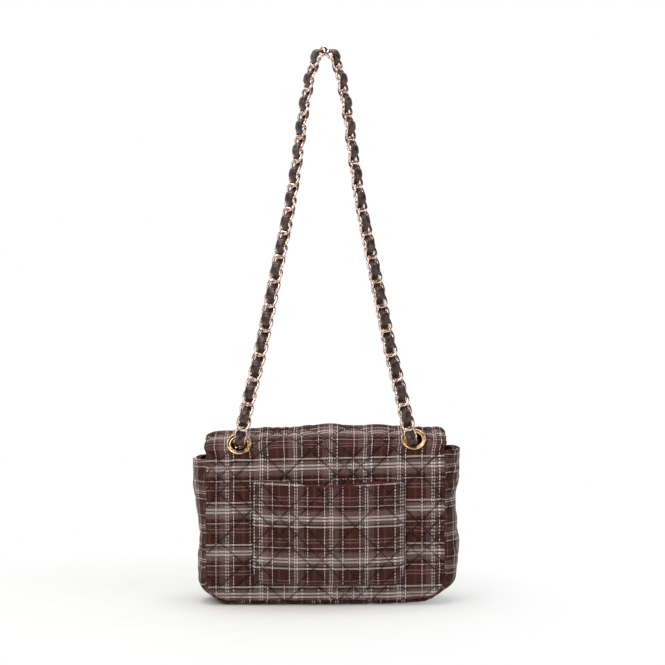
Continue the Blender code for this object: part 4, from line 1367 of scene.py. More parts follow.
@dataclass
class SideStrip(Cloth):
    """The gusset: one quilted strip down the left side, along the base and up the right side."""

    quilt: Quilting = Quilting(9.0 * MM, -40.0 * MM, depth=1.7 * MM, reach=5.0 * MM, fineness=5)
    waves: Ripple = Ripple(0.5 * MM, 9 * MM, 41)
    lining_waves: Ripple = Ripple(0.12 * MM, 10 * MM, 51)
    base_waves: Ripple = Ripple(0.1 * MM, 9 * MM, 61)
    plateau: float = 1.0 * MM
    rim: float = 1.6 * MM
    swell_at: tuple = (9, 18, 36, 45, 54, 63, 72, 90, 108, 126, 133)
    swell_left: tuple = (6.5, 8.9, 8.9, 8.9, 8.0, 7.2, 8.4, 10.7, 13.4, 13.4, 13.0)
    swell_right: tuple = (7.0, 11.4, 13.2, 14.1, 14.1, 12.3, 12.3, 10.5, 14.7, 14.7, 14.4)
    stripe_left: float = 6.4 * MM
    stripe_right: float = 19.5 * MM
    row_from_seam: float = 13.0 * MM
    top_tilt: float = 1.8 * MM
    top_twist: float = 1.3 * MM
    base_belly: float = 2.2 * MM
    width: float = 60.0 * MM
    spread_mm: float = 66
    cut_mm: float = 57

    @property
    def lengths(self) -> tuple:
        """Path lengths at the two corners, the base and the end."""
        drop = FORM.gusset_top - FORM.corner_r
        bend = math.pi / 2 * FORM.corner_r
        base = 2 * (FORM.half_width - FORM.corner_r)
        return drop, drop + bend, drop + bend + base, drop + 2 * bend + base, 2 * drop + 2 * bend + base

    def path(self, t):
        """The strip's seam path: x, z and the outward direction's turn from the left side."""
        drop, low, far, up, _ = self.lengths
        left = np.clip((t - drop) / FORM.corner_r, 0, math.pi / 2)
        right = np.clip((t - far) / FORM.corner_r, 0, math.pi / 2)
        turn = left + right
        straight = FORM.half_width - FORM.corner_r
        x = np.where(turn <= math.pi / 2 + 1e-9, -straight - FORM.corner_r * np.cos(left), 0.0)
        x = np.where((t > low) & (t <= far), -straight + (t - low), x)
        x = np.where(t > far, straight + FORM.corner_r * np.sin(right), x)
        z = np.where(t < drop, FORM.gusset_top - t, FORM.corner_r * (1 - np.sin(left)))
        z = np.where(t > far, FORM.corner_r * (1 - np.cos(right)), z)
        z = np.where(t > up, FORM.corner_r + (t - up), z)
        return x, z, turn

    def points(
        self, across, t, lift, back_r: float = FORM.lining_r, front_r: float = FORM.front_lining_r
    ):
        """Points of a layer of the strip.

        Args:
            across: share of the way from the back seam to the front seam.
            t: path length from the left top.
            lift: height out of the strip's own curve.
            back_r: radius of the layer that the back edge meets.
            front_r: radius of the layer that the front edge meets.

        Returns:
            The points.
        """
        x, z, turn = self.path(t)
        low, high = -FORM.edge_y(back_r, z), FORM.edge_y(front_r, z)
        y = low + (high - low) * across
        low, high = -FORM.edge_y(FORM.lining_r, z), FORM.edge_y(FORM.front_lining_r, z)
        places, tables = np.array(self.swell_at) * MM, (self.swell_left, self.swell_right)
        sides = [from_table(z, places, np.array(table) * MM, 3 * MM) for table in tables]
        share = np.clip((y - low) / (high - low), 0, 1)
        out = np.where(x < 0, *sides) * np.sin(math.pi * share) * np.abs(np.cos(turn)) ** 3 + lift
        edge = np.minimum(across, 1 - across) * self.width
        fade = 1 - np.sqrt(1 - (1 - np.clip(edge / (7 * MM), 0, 1)) ** 2)
        rise = FORM.tuck * np.clip(1 - z / (60 * MM), 0, 1) * fade
        rise = rise + np.sign(x) * self.top_tilt * smoothstep((z - 100 * MM) / (33 * MM))
        rise = rise - self.top_twist * np.sin(2 * math.pi * across) * smoothstep((z - 115 * MM) / (18 * MM))
        across_edge = np.sin(math.pi * np.clip(edge / (12 * MM), 0, 1))
        belly = self.base_belly * np.sin(turn) ** 2 * across_edge
        y = y - np.sign(0.5 - across) * belly
        points = np.stack([x - out * np.cos(turn), y + 0 * x, z - out * np.sin(turn) + rise], axis=-1)
        return FORM.settle(points)

    def lift(self, across, t):
        """Height of the puffs, which flatten on the base and at the seams."""
        w = (across - 0.5) * self.spread_mm * MM
        low = self.quilt.depth * (1 - self.quilt.puff(w, t))
        seam_edge = np.minimum(across, 1 - across) * self.cut_mm * MM
        height = self.quilt.relief(w, t, self.plateau)
        height = height + self.waves.at(w, t)
        on_base = smoothstep(np.sin(self.path(t)[2]) * 1.6 - 0.5)
        height = height * (1 - on_base) + on_base * (-0.2 * MM - 0.5 * low)
        ends = np.minimum(t, self.lengths[-1] - t)
        return height - round_over(seam_edge, 1.8 * MM) - round_over(ends, self.rim)

    def build(self) -> list:
        """Builds the strip, its stitches and its linings."""
        total = self.lengths[-1]
        step = self.quilt.step
        half = self.cut_mm / 2 * MM
        width = grid_marks(-half, half, 0.0, step) / (self.cut_mm * MM) + 0.5
        across, t = np.meshgrid(width, grid_marks(0.0, total, 0.0, step))
        ends = np.minimum(t, total - t)
        depth = FORM.cloth * (0.6 + 0.4 * smoothstep(ends / (15 * MM)))
        lifts = self.lift(across, t), round_over(ends, 1.0 * MM) - depth
        faces = [self.points(across, t, lift) for lift in lifts]
        stripe = self.stripe_left + (self.stripe_right - self.stripe_left) * t / total
        uv = np.stack([ends - stripe, self.row_from_seam - across * self.width], axis=-1)
        seam = self.quilt.seam((across - 0.5) * self.spread_mm * MM, t)
        nodes = "left_gusset", "right_gusset", "base_gusset"
        strip = self.quilted("gusset_strip", faces, uv, seam, 0.5, nodes)
        runs = []
        for w, t in self.quilt.lines(0.6, 30 * MM):
            good = (t > 3 * MM) & (t < total - 3 * MM) & (np.abs(w) < 29 * MM)
            share, t = w / (self.spread_mm * MM) + 0.5, np.clip(t, 0, total)
            runs += split_runs(self.points(share, t, self.lift(share, t)), good)
        seams = self.stitcher.sew("gusset_stitches", runs)
        made = [strip, seams, *self.linings(), self.base_lining()]
        return [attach(piece, "bag") for piece in made]

    def linings(self) -> list:
        """The lining of each side of the strip, down to the base."""
        _, low, far, _, total = self.lengths
        radii = FORM.inside_r - 0.5 * MM, FORM.front_inside_r - 0.5 * MM
        made = []
        for word, first, last in (("left", 0.4 * MM, low), ("right", far, total - 0.4 * MM)):
            across, t = np.meshgrid(np.linspace(0, 1, 40), np.linspace(first, last, 90))
            w = across * self.cut_mm * MM
            ripple = self.lining_waves.at(w, t)
            lifts = [-FORM.cloth - depth * MM + ripple for depth in (0.5, 1.1)]
            sheets = [self.points(across, t, lift, *radii) for lift in lifts]
            made.append(self.lined(f"{word}_side_lining", sheets, (w, t), [f"{word}_gusset_lining"]))
        return made

    def base_lining(self) -> bpy.types.Object:
        """The lining that lies on the base board."""
        low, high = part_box("base_lining")
        x, y = np.meshgrid(np.linspace(low.x, high.x, 90), np.linspace(low.y, high.y, 30))
        ripple = self.base_waves.at(x, y)
        sheets = [np.stack([x, y, z + ripple], axis=-1) for z in (high.z - 0.1 * MM, low.z + 0.1 * MM)]
        return self.lined("base_lining_sheet", sheets, (x, y), ["base_lining"], "laid")


@dataclass
class SlipPocket(Cloth):
    """The quilted pocket sewn on the back, whose mouth sags open, and its lining."""

    quilt: Quilting = Quilting(-21.5 * MM, -43.7 * MM, unit=14.75 * MM, depth=1.9 * MM, reach=6.0 * MM)
    waves: Ripple = Ripple(0.4 * MM, 15 * MM, 71)
    front_waves: Ripple = Ripple(0.12 * MM, 9 * MM, 81)
    rear_waves: Ripple = Ripple(0.1 * MM, 8 * MM, 91)
    plateau: float = 0.9 * MM
    room: float = 7.2 * MM
    thickness: float = 2.8 * MM
    mouth_gape: float = 1.2 * MM
    seat: float = FORM.outer_r - 0.9 * MM

    def belly(self, x, z):
        """How far the cloth stands off the back panel before its puffs."""
        edge = POCKET.inside(x, z)
        rise = np.sqrt(1 - (1 - np.clip(edge / (5.5 * MM), 0, 1)) ** 2)
        gape = smoothstep((z - 70 * MM) / (38 * MM)) * (1 - ((x - POCKET.middle) / POCKET.half) ** 2)
        hollow = 1 - 0.25 * (1 - smoothstep((z - POCKET.bottom) / (60 * MM)))
        return rise * (self.room * hollow + self.mouth_gape * gape)

    def outer(self, x, z):
        """Points of the pocket's outer face."""
        height = self.quilt.relief(x, z, self.plateau)
        height = height + self.waves.at(x, z)
        height = height * smoothstep(POCKET.inside(x, z) / (4 * MM)) - self.hem(x, z, 1.5 * MM)
        y = -(self.seat + self.belly(x, z) + height)
        return np.stack(np.broadcast_arrays(x, y, z), axis=-1)

    @staticmethod
    def hem(x, z, radius: float):
        """How far the cloth is rounded over at the mouth."""
        return round_over(np.maximum(POCKET.mouth(x) - z, 0), radius)

    def inner(self, x, z):
        """Points of its inner face."""
        deep = self.thickness * np.sqrt(np.clip(POCKET.inside(x, z) / (4 * MM), 0.02, 1))
        y = -(self.seat + self.belly(x, z)) + (deep - self.hem(x, z, 1.1 * MM))
        y = np.maximum(np.minimum(y, -(FORM.outer_r - 1.2 * MM)), self.outer(x, z)[..., 1] + 0.3 * MM)
        return np.stack(np.broadcast_arrays(x, y, z), axis=-1)

    def grid(self):
        """Columns and rows on the quilting's spacing, fitted under the sagging mouth."""
        top = POCKET.top
        x, z = self.quilt.grid(POCKET.half, POCKET.bottom, top, POCKET.middle)
        x = squeezed(x, POCKET.half, round_over(z - POCKET.bottom, POCKET.corner_r)) + POCKET.middle
        start = top - 24 * MM
        share = np.clip((z - start) / (top - start), 0, 1)
        return x, np.minimum(z, start) + share * (POCKET.mouth(x) - start)

    def build(self) -> list:
        """Builds the pocket, its stitches and its linings."""
        x, z = self.grid()
        share = (x - POCKET.middle) / POCKET.half
        row = z - 71.0 * MM + 2.0 * MM * (1 - share**2)
        uv = np.stack([(-x - 0.4 * MM) / 1.027, -row / 0.977], axis=-1)
        faces = self.outer(x, z), self.inner(x, z)
        pocket = self.quilted("pocket_front", faces, uv, self.quilt.seam(x, z), 0.4, ["back_pocket"])
        runs = []
        for x, z in self.quilt.lines(0.4, POCKET.half, POCKET.middle):
            good = (POCKET.inside(x, z) > 2.5 * MM) & (POCKET.mouth(x) - z > 2 * MM)
            runs += split_runs(self.outer(x, z) - np.array([0, 0.1 * MM, 0]), good)
        seams = self.stitcher.sew("pocket_stitches", runs)
        made = [pocket, seams, self.front_lining(), self.rear_lining()]
        return [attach(piece, "bag") for piece in made]

    @staticmethod
    def lining_grid(inset: float, lift: float, top) -> tuple:
        """Places of a lining inside the pocket's sides, above its bottom and under a top edge."""
        share, climb = np.meshgrid(np.linspace(-1, 1, 70), np.linspace(0, 1, 46))
        x = POCKET.middle + share * (POCKET.half - inset)
        low = POCKET.bottom + lift + round_over(np.abs(1 - np.abs(share)) * POCKET.half, 11 * MM)
        return x, low + (top(x) - low) * climb

    def front_lining(self) -> bpy.types.Object:
        """The lining on the pocket cloth's inner face."""
        x, z = self.lining_grid(4.5 * MM, 5.0 * MM, lambda x: POCKET.mouth(x) - 1.6 * MM)
        ripple = self.front_waves.at(x, z)
        sheets = []
        for depth in (0.25, 0.8):
            points = self.inner(x, z)
            points[..., 1] += depth * MM + ripple
            points[..., 1] = np.minimum(points[..., 1], -(FORM.outer_r + (1.4 - depth) * MM))
            sheets.append(points)
        return self.lined("pocket_lining_front", sheets, (x, z), ["back_pocket_lining"])

    def rear_lining(self) -> bpy.types.Object:
        """The lining on the panel behind the pocket, which shows in the sagging mouth."""
        x, z = self.lining_grid(5 * MM, 6.0 * MM, POCKET.lining_top)
        ripple = self.rear_waves.at(x, z)
        gap = 0.9 * MM + 0.5 * MM * smoothstep((z - POCKET.lining_top(x) + 6 * MM) / (6 * MM))
        sheets = [np.stack([x, -(FORM.outer_r + gap + d * MM) + ripple, z], axis=-1) for d in (0.5, 0.0)]
        return self.lined("pocket_lining_rear", sheets, (x, z))


@dataclass
class Hardware:
    """Fittings that are turned on a lathe."""

    finishes: Finishes

    def turned(
        self, name: str, profile: list, place: Matrix, node: str, body: str,
        radius: float, sides: int, solid: bool,
    ) -> bpy.types.Object:  # fmt: skip
        """Turns a fitting and puts it on its body.

        Args:
            name: the piece's name.
            profile: its (radius, height) points.
            place: the local frame that it is turned in.
            node: the CAD node that it replaces.
            body: the body that it rides.
            radius: how far the profile's corners are rounded, or 0 for not at all.
            sides: how many steps one turn has.
            solid: whether the profile's ends lie on the axis.

        Returns:
            The piece.
        """
        shape = softened(profile, radius, closed=not solid) if radius else profile
        piece = self.finishes.dress(lathe(name, shape, sides, place, solid), Slot.FITTINGS)
        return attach(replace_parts(piece, node), body)


@dataclass
class Eyelets(Hardware):
    """The two domed eyelets in the leaning top, with their washers inside."""

    sides: int = 56
    washer: float = 1.0 * MM
    washer_reach: float = 2.2 * MM
    clearance: float = 0.3 * MM
    flange_under: float = -1.44 * MM

    def build(self) -> list:
        """Turns both eyelets and both washers."""
        barrel = SEAT.hole_r + SEAT.wall
        hole = barrel + self.clearance
        edge = hole + self.washer_reach
        inside = -(FORM.outer_r - math.sqrt(FORM.inside_r**2 - edge**2)) - self.clearance
        low, under = inside - self.washer, self.flange_under
        crown = under + SEAT.dome
        profile = [
            (SEAT.hole_r, low), (barrel, low), (barrel, under), (SEAT.flange_r - 0.5 * MM, under),
            (SEAT.flange_r, under + 0.3 * MM), (SEAT.flange_r - 0.15 * MM, crown - 0.5 * MM),
            (SEAT.flange_r - 0.9 * MM, crown), (SEAT.flange_r - 1.7 * MM, crown - 0.45 * MM),
            (SEAT.hole_r + 1.3 * MM, crown - 1.15 * MM), (SEAT.hole_r + 0.7 * MM, crown - 0.95 * MM),
            (SEAT.hole_r + 0.1 * MM, crown - 1.45 * MM), (SEAT.hole_r, under - 0.8 * MM),
        ]  # fmt: skip
        ring = [(hole, low), (edge, low), (edge, inside), (hole, inside)]
        made = []
        for side, word in SIDES:
            place = SEAT.frame(side)
            for name, shape, radius, node in (
                (f"{word}_domed_eyelet", profile, 0.4 * MM, f"{word}_eyelet"),
                (f"{word}_eyelet_back_washer", ring, 0.25 * MM, f"{word}_eyelet_washer"),
            ):
                made.append(self.turned(name, shape, place, node, "bag", radius, self.sides, False))
        return made


def along_y(x: float, y: float, z: float) -> Matrix:
    """A frame whose Z axis points to the front of the bag."""
    return Matrix.Translation((x, y, z)) @ Matrix.Rotation(-math.pi / 2, 4, "X")


@dataclass
class Snap(Hardware):
    """The magnetic snap: a socket on the front panel and a stud under the flap."""

    z: float = 68 * MM
    rounding: float = 0.3 * MM
    sides: int = 40

    def build(self) -> list:
        """Turns the socket and the stud, whose profiles are in millimetres."""
        socket = [
            (0, -3.0), (1.5, -3.0), (1.5, 0.3), (8.0, 0.3), (8.0, 1.7), (7.2, 2.1), (5.6, 2.1), (5.2, 1.8),
            (3.6, 1.8), (3.6, 0.7), (0, 0.7),
        ]  # fmt: skip
        stud = [(0, -2.4), (2.2, -2.4), (2.2, -1.3), (7.5, -1.3), (7.5, 0), (1.5, 0), (1.5, 2.6), (0, 2.6)]
        made = []
        for name, profile, y, node, body in (
            ("snap_socket_turned", socket, FORM.front_r, "snap_socket", "bag"),
            ("snap_stud_turned", stud, FORM.inside_r - FORM.ply_gap, "snap_stud", "flap_front"),
        ):
            shape = [(r * MM, h * MM) for r, h in profile]
            place = along_y(0, y, self.z)
            made.append(self.turned(name, shape, place, node, body, self.rounding, self.sides, True))
        return made


class Track:
    """A route read by the distance along it, with a direction that its face looks in."""

    def __init__(self, points: list, facing) -> None:
        """Keeps the points and measures them.

        Args:
            points: the route's points.
            facing: a function of a point and a direction that gives where the face looks.
        """
        self.points = np.array([tuple(p) for p in points])
        self.facing = facing
        steps = np.linalg.norm(np.diff(self.points, axis=0), axis=1)
        self.marks = np.concatenate([[0.0], np.cumsum(steps)])
        self.length = float(self.marks[-1])

    def point(self, distance: float) -> Vector:
        """The point at a distance, carried on straight past either end."""
        if distance < 0 or distance > self.length:
            end, near = (0, 1) if distance < 0 else (-1, -2)
            run = self.points[end] - self.points[near]
            beyond = -distance if distance < 0 else distance - self.length
            return Vector(self.points[end] + run / np.linalg.norm(run) * beyond)
        return Vector([np.interp(distance, self.marks, self.points[:, k]) for k in range(3)])

    def frame(self, distance: float, span: float):
        """The point, and the along, across and outward directions, at a distance."""
        along = (self.point(distance + span) - self.point(distance - span)).normalized()
        here = self.point(distance)
        outward = self.facing(here, along)
        outward = (outward - along * outward.dot(along)).normalized()
        return here, along, outward.cross(along), outward


@dataclass(frozen=True)
class StrapRoute:
    """Where the strap runs: out of the eyelets, inward and up to the point it hangs from."""

    hole_x: float = 77 * MM
    hole_turn: float = math.radians(33)
    start_inset: float = 3.8 * MM
    top_z: float = 490 * MM
    lean: float = math.radians(1.2)
    foot_turn: float = math.radians(20)
    foot_end: float = 0.07
    top_turn: float = math.radians(55)
    turn_start: float = 0.2
    turn_end: float = 0.9
    bend_r: float = 18 * MM
    tilt: float = math.radians(45)
    straight: float = 8 * MM
    tail_run: float = 54.3 * MM
    shares: tuple = (
        (0.926, 0.076), (0.787, 0.201), (0.669, 0.330), (0.553, 0.456), (0.437, 0.581),
        (0.346, 0.707), (0.268, 0.835), (0.196, 0.922), (0.142, 0.964), (0.0615, 1.0),
    )  # fmt: skip

    def start(self) -> Vector:
        """Where the strap leaves the right chain end, just outside the eyelet."""
        hole = FORM.place(self.hole_x, FORM.station_at(self.hole_turn), FORM.outer_r)
        out = self.bend_r * (1 - math.cos(self.tilt))
        rise = self.bend_r * math.sin(self.tilt)
        return Vector((self.hole_x - self.start_inset, hole[1] - out, hole[2] + rise))

    def strap(self) -> Track:
        """The strap faces back at its foot, a little outward above it, and outward at its top."""
        start = self.start()
        right = [start]
        for width, climb in self.shares:
            rise = (self.top_z - start.z) * climb
            right.append(Vector((start.x * width, start.y + rise * math.tan(self.lean), start.z + rise)))
        left = [Vector((-p.x, p.y, p.z)) for p in right]
        knots = left + right[::-1]
        ends = [2 * knots[0] - knots[1], *knots, 2 * knots[-1] - knots[-2]]
        curve = []
        for a, b, c, d in zip(ends, ends[1:], ends[2:], ends[3:]):
            for i in range(12):
                t = i / 12
                bend = 2 * a - 5 * b + 4 * c - d
                curve.append(0.5 * (2 * b + (c - a) * t + bend * t**2 + (3 * b - a - 3 * c + d) * t**3))
        curve.append(knots[-1])

        def facing(here: Vector, along: Vector) -> Vector:
            climbed = (here.z - start.z) / (self.top_z - start.z)
            rest = smoothstep((climbed - self.turn_start) / (self.turn_end - self.turn_start))
            turn = self.foot_turn * smoothstep(climbed / self.foot_end)
            turn += (self.top_turn - self.foot_turn) * rest
            outward = along.cross(Vector((0, 1, 0))).normalized()
            return Vector((0, -math.cos(turn), 0)) + outward * math.sin(turn)

        return Track(curve, facing)

    def tail(self, side: int) -> Track:
        """From the strap's first pivot in through the eyelet and down inside the bag."""
        start = self.start()
        flat = []
        for i in range(9):
            turn = self.tilt * i / 8
            y = start.y + self.bend_r * (1 - math.cos(turn))
            x = start.x + (self.hole_x - start.x) * i / 8
            flat.append(Vector((x, y, start.z - self.bend_r * math.sin(turn))))
        corner = flat[-1] + Vector((0, math.sin(self.tilt), -math.cos(self.tilt))) * self.straight
        for i in range(9):
            turn = self.tilt * (1 - i / 8)
            y = corner.y + self.bend_r * (math.cos(turn) - math.cos(self.tilt))
            z = corner.z - self.bend_r * (math.sin(self.tilt) - math.sin(turn))
            flat.append(Vector((self.hole_x, y, z)))
        used = sum((b - a).length for a, b in zip(flat, flat[1:]))
        flat.append(flat[-1] - Vector((0, 0, self.tail_run - used)))
        return Track(
            [Vector((side * p.x, p.y, p.z)) for p in flat],
            lambda here, along: along.cross(Vector((1, 0, 0))),
        )


@dataclass
class ChainStrap:
    """The chain of curb links and the leather lace that is woven through it.

    Links are hooked at the strap's own pivots, so each section turns about a real contact.
    """

    finishes: Finishes
    route: StrapRoute = StrapRoute()
    wire_r: float = 1.25 * MM
    inner_half: float = 5.4 * MM
    half_width: float = 5.3 * MM
    tail_narrow: float = 0.9
    twist: float = 1.2 * MM
    link_points: int = 26
    wire_sides: int = 8
    section_ends: tuple = (0.0, 67.12 * MM, 155.18 * MM)
    section_links: tuple = (6, 8, 36)
    tail_links: int = 5
    lace_front: float = 2.5 * MM
    lace_back: float = 2.4 * MM
    lace_ramp: float = 3.2 * MM
    lace_step: float = 1.1 * MM

    def hooks(self, track: Track) -> list:
        """Distances of all the places where two links of the strap hook."""
        lower, middle, upper = self.section_links
        low, mid, high = self.section_ends
        found = [low]
        sections = (low, mid, lower), (mid, high, middle), (high, track.length - high, upper)
        for first, last, links in sections:
            found += list(np.linspace(first, last, links + 1))[1:]
        return found + [track.length - d for d in found[: lower + middle]][::-1]

    def tail_hooks(self) -> list:
        """The same along a chain end, from the pivot in to the anchor ring."""
        pitch = (self.route.tail_run - 1.05 * MM) / self.tail_links
        return [i * pitch for i in range(self.tail_links + 1)]

    def link(self) -> bpy.types.Object:
        """One curb link, an oval of wire twisted so that it lies flat in the chain."""
        half = self.inner_half + self.wire_r
        points = []
        for i in range(self.link_points):
            t = 2 * math.pi * i / self.link_points
            long, wide = (math.copysign(abs(way) ** 0.9, way) for way in (math.cos(t), math.sin(t)))
            centre = Vector((half * long, self.half_width * wide, self.twist * math.sin(2 * t)))
            rise = 2 * self.twist * math.cos(2 * t)
            run = Vector((-half * math.sin(t), self.half_width * math.cos(t), rise))
            side = run.cross(Vector((0, 0, 1))).normalized()
            up = side.cross(run).normalized()
            for k in range(self.wire_sides):
                turn = 2 * math.pi * (k + 0.5) / self.wire_sides
                flat = 0.9 if math.sin(turn) > 0 else 1.0
                offset = side * math.cos(turn) * 1.06 + up * math.sin(turn) * flat
                points.append(tuple(centre + offset * self.wire_r))
        faces = ring_faces(self.link_points, self.wire_sides, closed=True)
        return add_piece("link_pattern", new_mesh("link_pattern", points, [], faces))

    def chain(
        self, name: str, job: NodesJob, track: Track, hooks: list, width: float = 1.0
    ) -> bpy.types.Object:
        """A run of links between hooks, narrower where they have to pass an eyelet."""
        places, ways = [], {"along": [], "outward": [], "stretch": []}
        for low, high in zip(hooks, hooks[1:]):
            middle, half = (low + high) / 2, (high - low) / 2 + self.wire_r
            _, along, _, outward = track.frame(middle, half)
            places.append(tuple((track.point(middle - half) + track.point(middle + half)) / 2))
            stretch = half / (self.inner_half + self.wire_r), width, 1.0
            for values, way in zip(ways.values(), (along, outward, stretch)):
                values += list(way)
        carrier = new_mesh(name, places, [], [])
        for word, values in ways.items():
            carrier.attributes.new(word, "FLOAT_VECTOR", "POINT").data.foreach_set("vector", values)
        return self.finishes.dress(job.run(name, carrier), Slot.CHAIN)

    def lace(self, name: str, track: Track, hooks: list, first: float, last: float) -> bpy.types.Object:
        """A stretch of the lace, which passes over one crossing of links and under the next.

        Args:
            name: the object's name.
            track: the route.
            hooks: where links hook; the lace is behind the first one.
            first: where the stretch starts.
            last: where it ends.

        Returns:
            The object.
        """
        hooks = np.array(hooks)
        distances = np.arange(first, last + 0.5 * MM, self.lace_step)
        distances[-1] = last
        line, across_all, wide, deep = [], [], [], []
        for distance in distances:
            k = int(np.clip(np.searchsorted(hooks, distance) - 1, 0, len(hooks) - 2))
            middle = (hooks[k] + hooks[k + 1]) / 2
            before = -1 if k % 2 == 0 else 1
            share = np.clip((distance - middle) / self.lace_ramp, -1, 1)
            beyond = math.sin(math.pi * (distance - middle) / (hooks[k + 1] - hooks[k]))
            height = -before * (math.sin(math.pi / 2 * share) + 0.18 * beyond * abs(beyond))
            height *= self.lace_front if height > 0 else self.lace_back
            here, _, across, outward = track.frame(distance, 2 * MM)
            flat = abs(math.sin(math.pi / 2 * share))
            line.append(tuple(here + outward * height))
            across_all.append(tuple(across))
            wide.append((3.45 + 0.65 * flat) * MM)
            deep.append((1.0 + (0.75 if height > 0 else 0.6) * flat) * MM)
        piece = band(name, line, across_all, np.array(wide), np.array(deep))
        return self.finishes.dress(piece, Slot.LEATHER)

    def build(self) -> list:
        """Builds every run of links and every stretch of lace."""
        pattern = self.link()
        job = NodesJob(link_tree(), Link=pattern, Plating=self.finishes.by_slot[Slot.CHAIN])
        strap = self.route.strap()
        hooks = self.hooks(strap)
        low = self.section_links[0]
        mid = low + self.section_links[1]
        end = len(hooks) - 1
        made = []
        for name, first, last, node, body in (
            ("left_lower_links", 0, low, "left_lower_chain", "strap_lower"),
            ("left_middle_links", low, mid, "left_middle_chain", "strap_middle"),
            ("upper_links", mid, end - mid, "upper_chain", "strap_upper"),
            ("right_middle_links", end - mid, end - low, "right_middle_chain", "strap_middle"),
            ("right_lower_links", end - low, end, "right_lower_chain", "strap_lower"),
        ):
            piece = self.chain(name, job, strap, hooks[first : last + 1])
            made.append(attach(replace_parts(piece, node), body))
        for side, word in SIDES:
            tail = self.route.tail(side)
            piece = self.chain(f"{word}_tail_links", job, tail, self.tail_hooks(), self.tail_narrow)
            made.append(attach(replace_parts(piece, f"{word}_chain_tail"), "bag"))
            made += self.laces(side, word, strap, hooks, tail)
        bpy.data.objects.remove(pattern, do_unlink=True)
        return made

    def laces(self, side: int, word: str, strap: Track, hooks: list, tail: Track) -> list:
        """The lace of one side, in stretches that each hold one of the strap's pivots."""
        lower, middle, _ = self.section_links
        tail_hooks = self.tail_hooks()
        tail_points = [tail.point(d) for d in np.arange(tail_hooks[-1], 0, -1 * MM)]
        run = strap
        if side > 0:
            run = Track(strap.points[::-1], lambda here, along: strap.facing(here, -along))

        def facing(here: Vector, along: Vector) -> Vector:
            """Faces as the chain end does inside the bag, and as the strap does above its pivot."""
            return tail.facing(here, -along) if here.z < run.points[0][2] else run.facing(here, along)

        joined = Track([*tail_points, *[Vector(p) for p in run.points]], facing)
        shift = joined.length - run.length
        all_hooks = [shift - d for d in tail_hooks[::-1]][:-1] + [shift + h for h in hooks]
        if len(tail_hooks) % 2 == 0:
            all_hooks = [all_hooks[0] - 10 * MM] + all_hooks
        cuts = [
            shift - (self.route.tail_run - 9 * MM),
            shift + hooks[lower // 2 + 1],
            shift + hooks[lower + middle // 2],
            shift + hooks[len(hooks) // 2],
        ]
        pivots = [run.point(d) for d in self.section_ends]
        nodes = (("lace_tail", "lower_lace"), ("lower_lace", "middle_lace"), ("middle_lace",))
        made = []
        for i, stretch in enumerate(("low", "mid", "high")):
            piece = self.lace(f"{word}_lace_{stretch}", joined, all_hooks, cuts[i], cuts[i + 1])
            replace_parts(piece, *[f"{word}_{node}" for node in nodes[i]])
            if stretch == "high":
                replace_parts(piece, "upper_lace")
            up = (run.point(self.section_ends[i] + 5 * MM) - pivots[i]).normalized() * 5 * MM
            made.append(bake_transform(piece))
        return made


@dataclass
class Anchors(Hardware):
    """Inside the bag, a riveted leather tab holds the ring that each chain end hooks on."""

    wire_r: float = 1.0 * MM
    tab_thickness: float = 1.6 * MM
    loop_r: float = 2.6 * MM
    foot: float = 4.2 * MM
    half_length: float = 10.0 * MM
    rounding: float = 0.3 * MM
    ring_sides: int = 48
    rivet_sides: int = 28

    def build(self) -> list:
        """Builds both rings, both tabs and all four rivets."""
        stem = -(self.tab_thickness + 2 * FORM.ply_gap + FORM.lining)
        rivet = [
            (0, stem), (1.0 * MM, stem), (1.0 * MM, 0), (2.2 * MM, 0), (2.1 * MM, 0.5 * MM),
            (1.4 * MM, 0.9 * MM), (0, 1.0 * MM),
        ]  # fmt: skip
        turns = [2 * math.pi * k / 12 for k in range(12)]
        made = []
        for _, word in SIDES:
            node = f"{word}_anchor_ring"
            low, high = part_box(node)
            centre, radius = (low + high) / 2, (high.z - low.z) / 2 - self.wire_r
            place = Matrix.Translation(centre) @ Matrix.Rotation(math.pi / 2, 4, "Y")
            wire = [(radius + self.wire_r * math.cos(t), self.wire_r * math.sin(t)) for t in turns]
            ring = self.turned(f"{word}_round_ring", wire, place, node, "bag", 0.0, self.ring_sides, False)
            made += [ring, self.tab(word, centre)]
            for end in ("inner", "outer"):
                node = f"{word}_{end}_tab_rivet"
                low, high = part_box(node)
                spot = along_y((low.x + high.x) / 2, high.y - 1.0 * MM, (low.z + high.z) / 2)
                name = f"{word}_{end}_rivet"
                sizes = self.rounding, self.rivet_sides
                made.append(self.turned(name, rivet, spot, node, "bag", *sizes, True))
        return made

    def tab(self, word: str, centre: Vector) -> bpy.types.Object:
        """The strip that lies on the lining and loops over the ring's wire."""
        x = centre.x
        flat_y = -(FORM.inside_r - FORM.ply_gap) + self.tab_thickness / 2
        wire_y = -FORM.inside_r + self.wire_r + 0.3 * MM
        reaches = self.half_length, 7 * MM, self.foot
        line = [(x - reach, flat_y) for reach in reaches]
        for i in range(13):
            turn = math.pi * (1 - i / 12)
            line.append((x + self.loop_r * math.cos(turn), wire_y + self.loop_r * math.sin(turn)))
        line += [(x + reach, flat_y) for reach in reaches[::-1]]
        points = [(px, py, centre.z) for px, py in line]
        piece = band(f"{word}_leather_tab", points, [(0, 0, 1)] * len(points), 2.75 * MM, 0.8 * MM)
        self.finishes.dress(piece, Slot.LEATHER)
        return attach(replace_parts(piece, f"{word}_anchor_tab"), "bag")


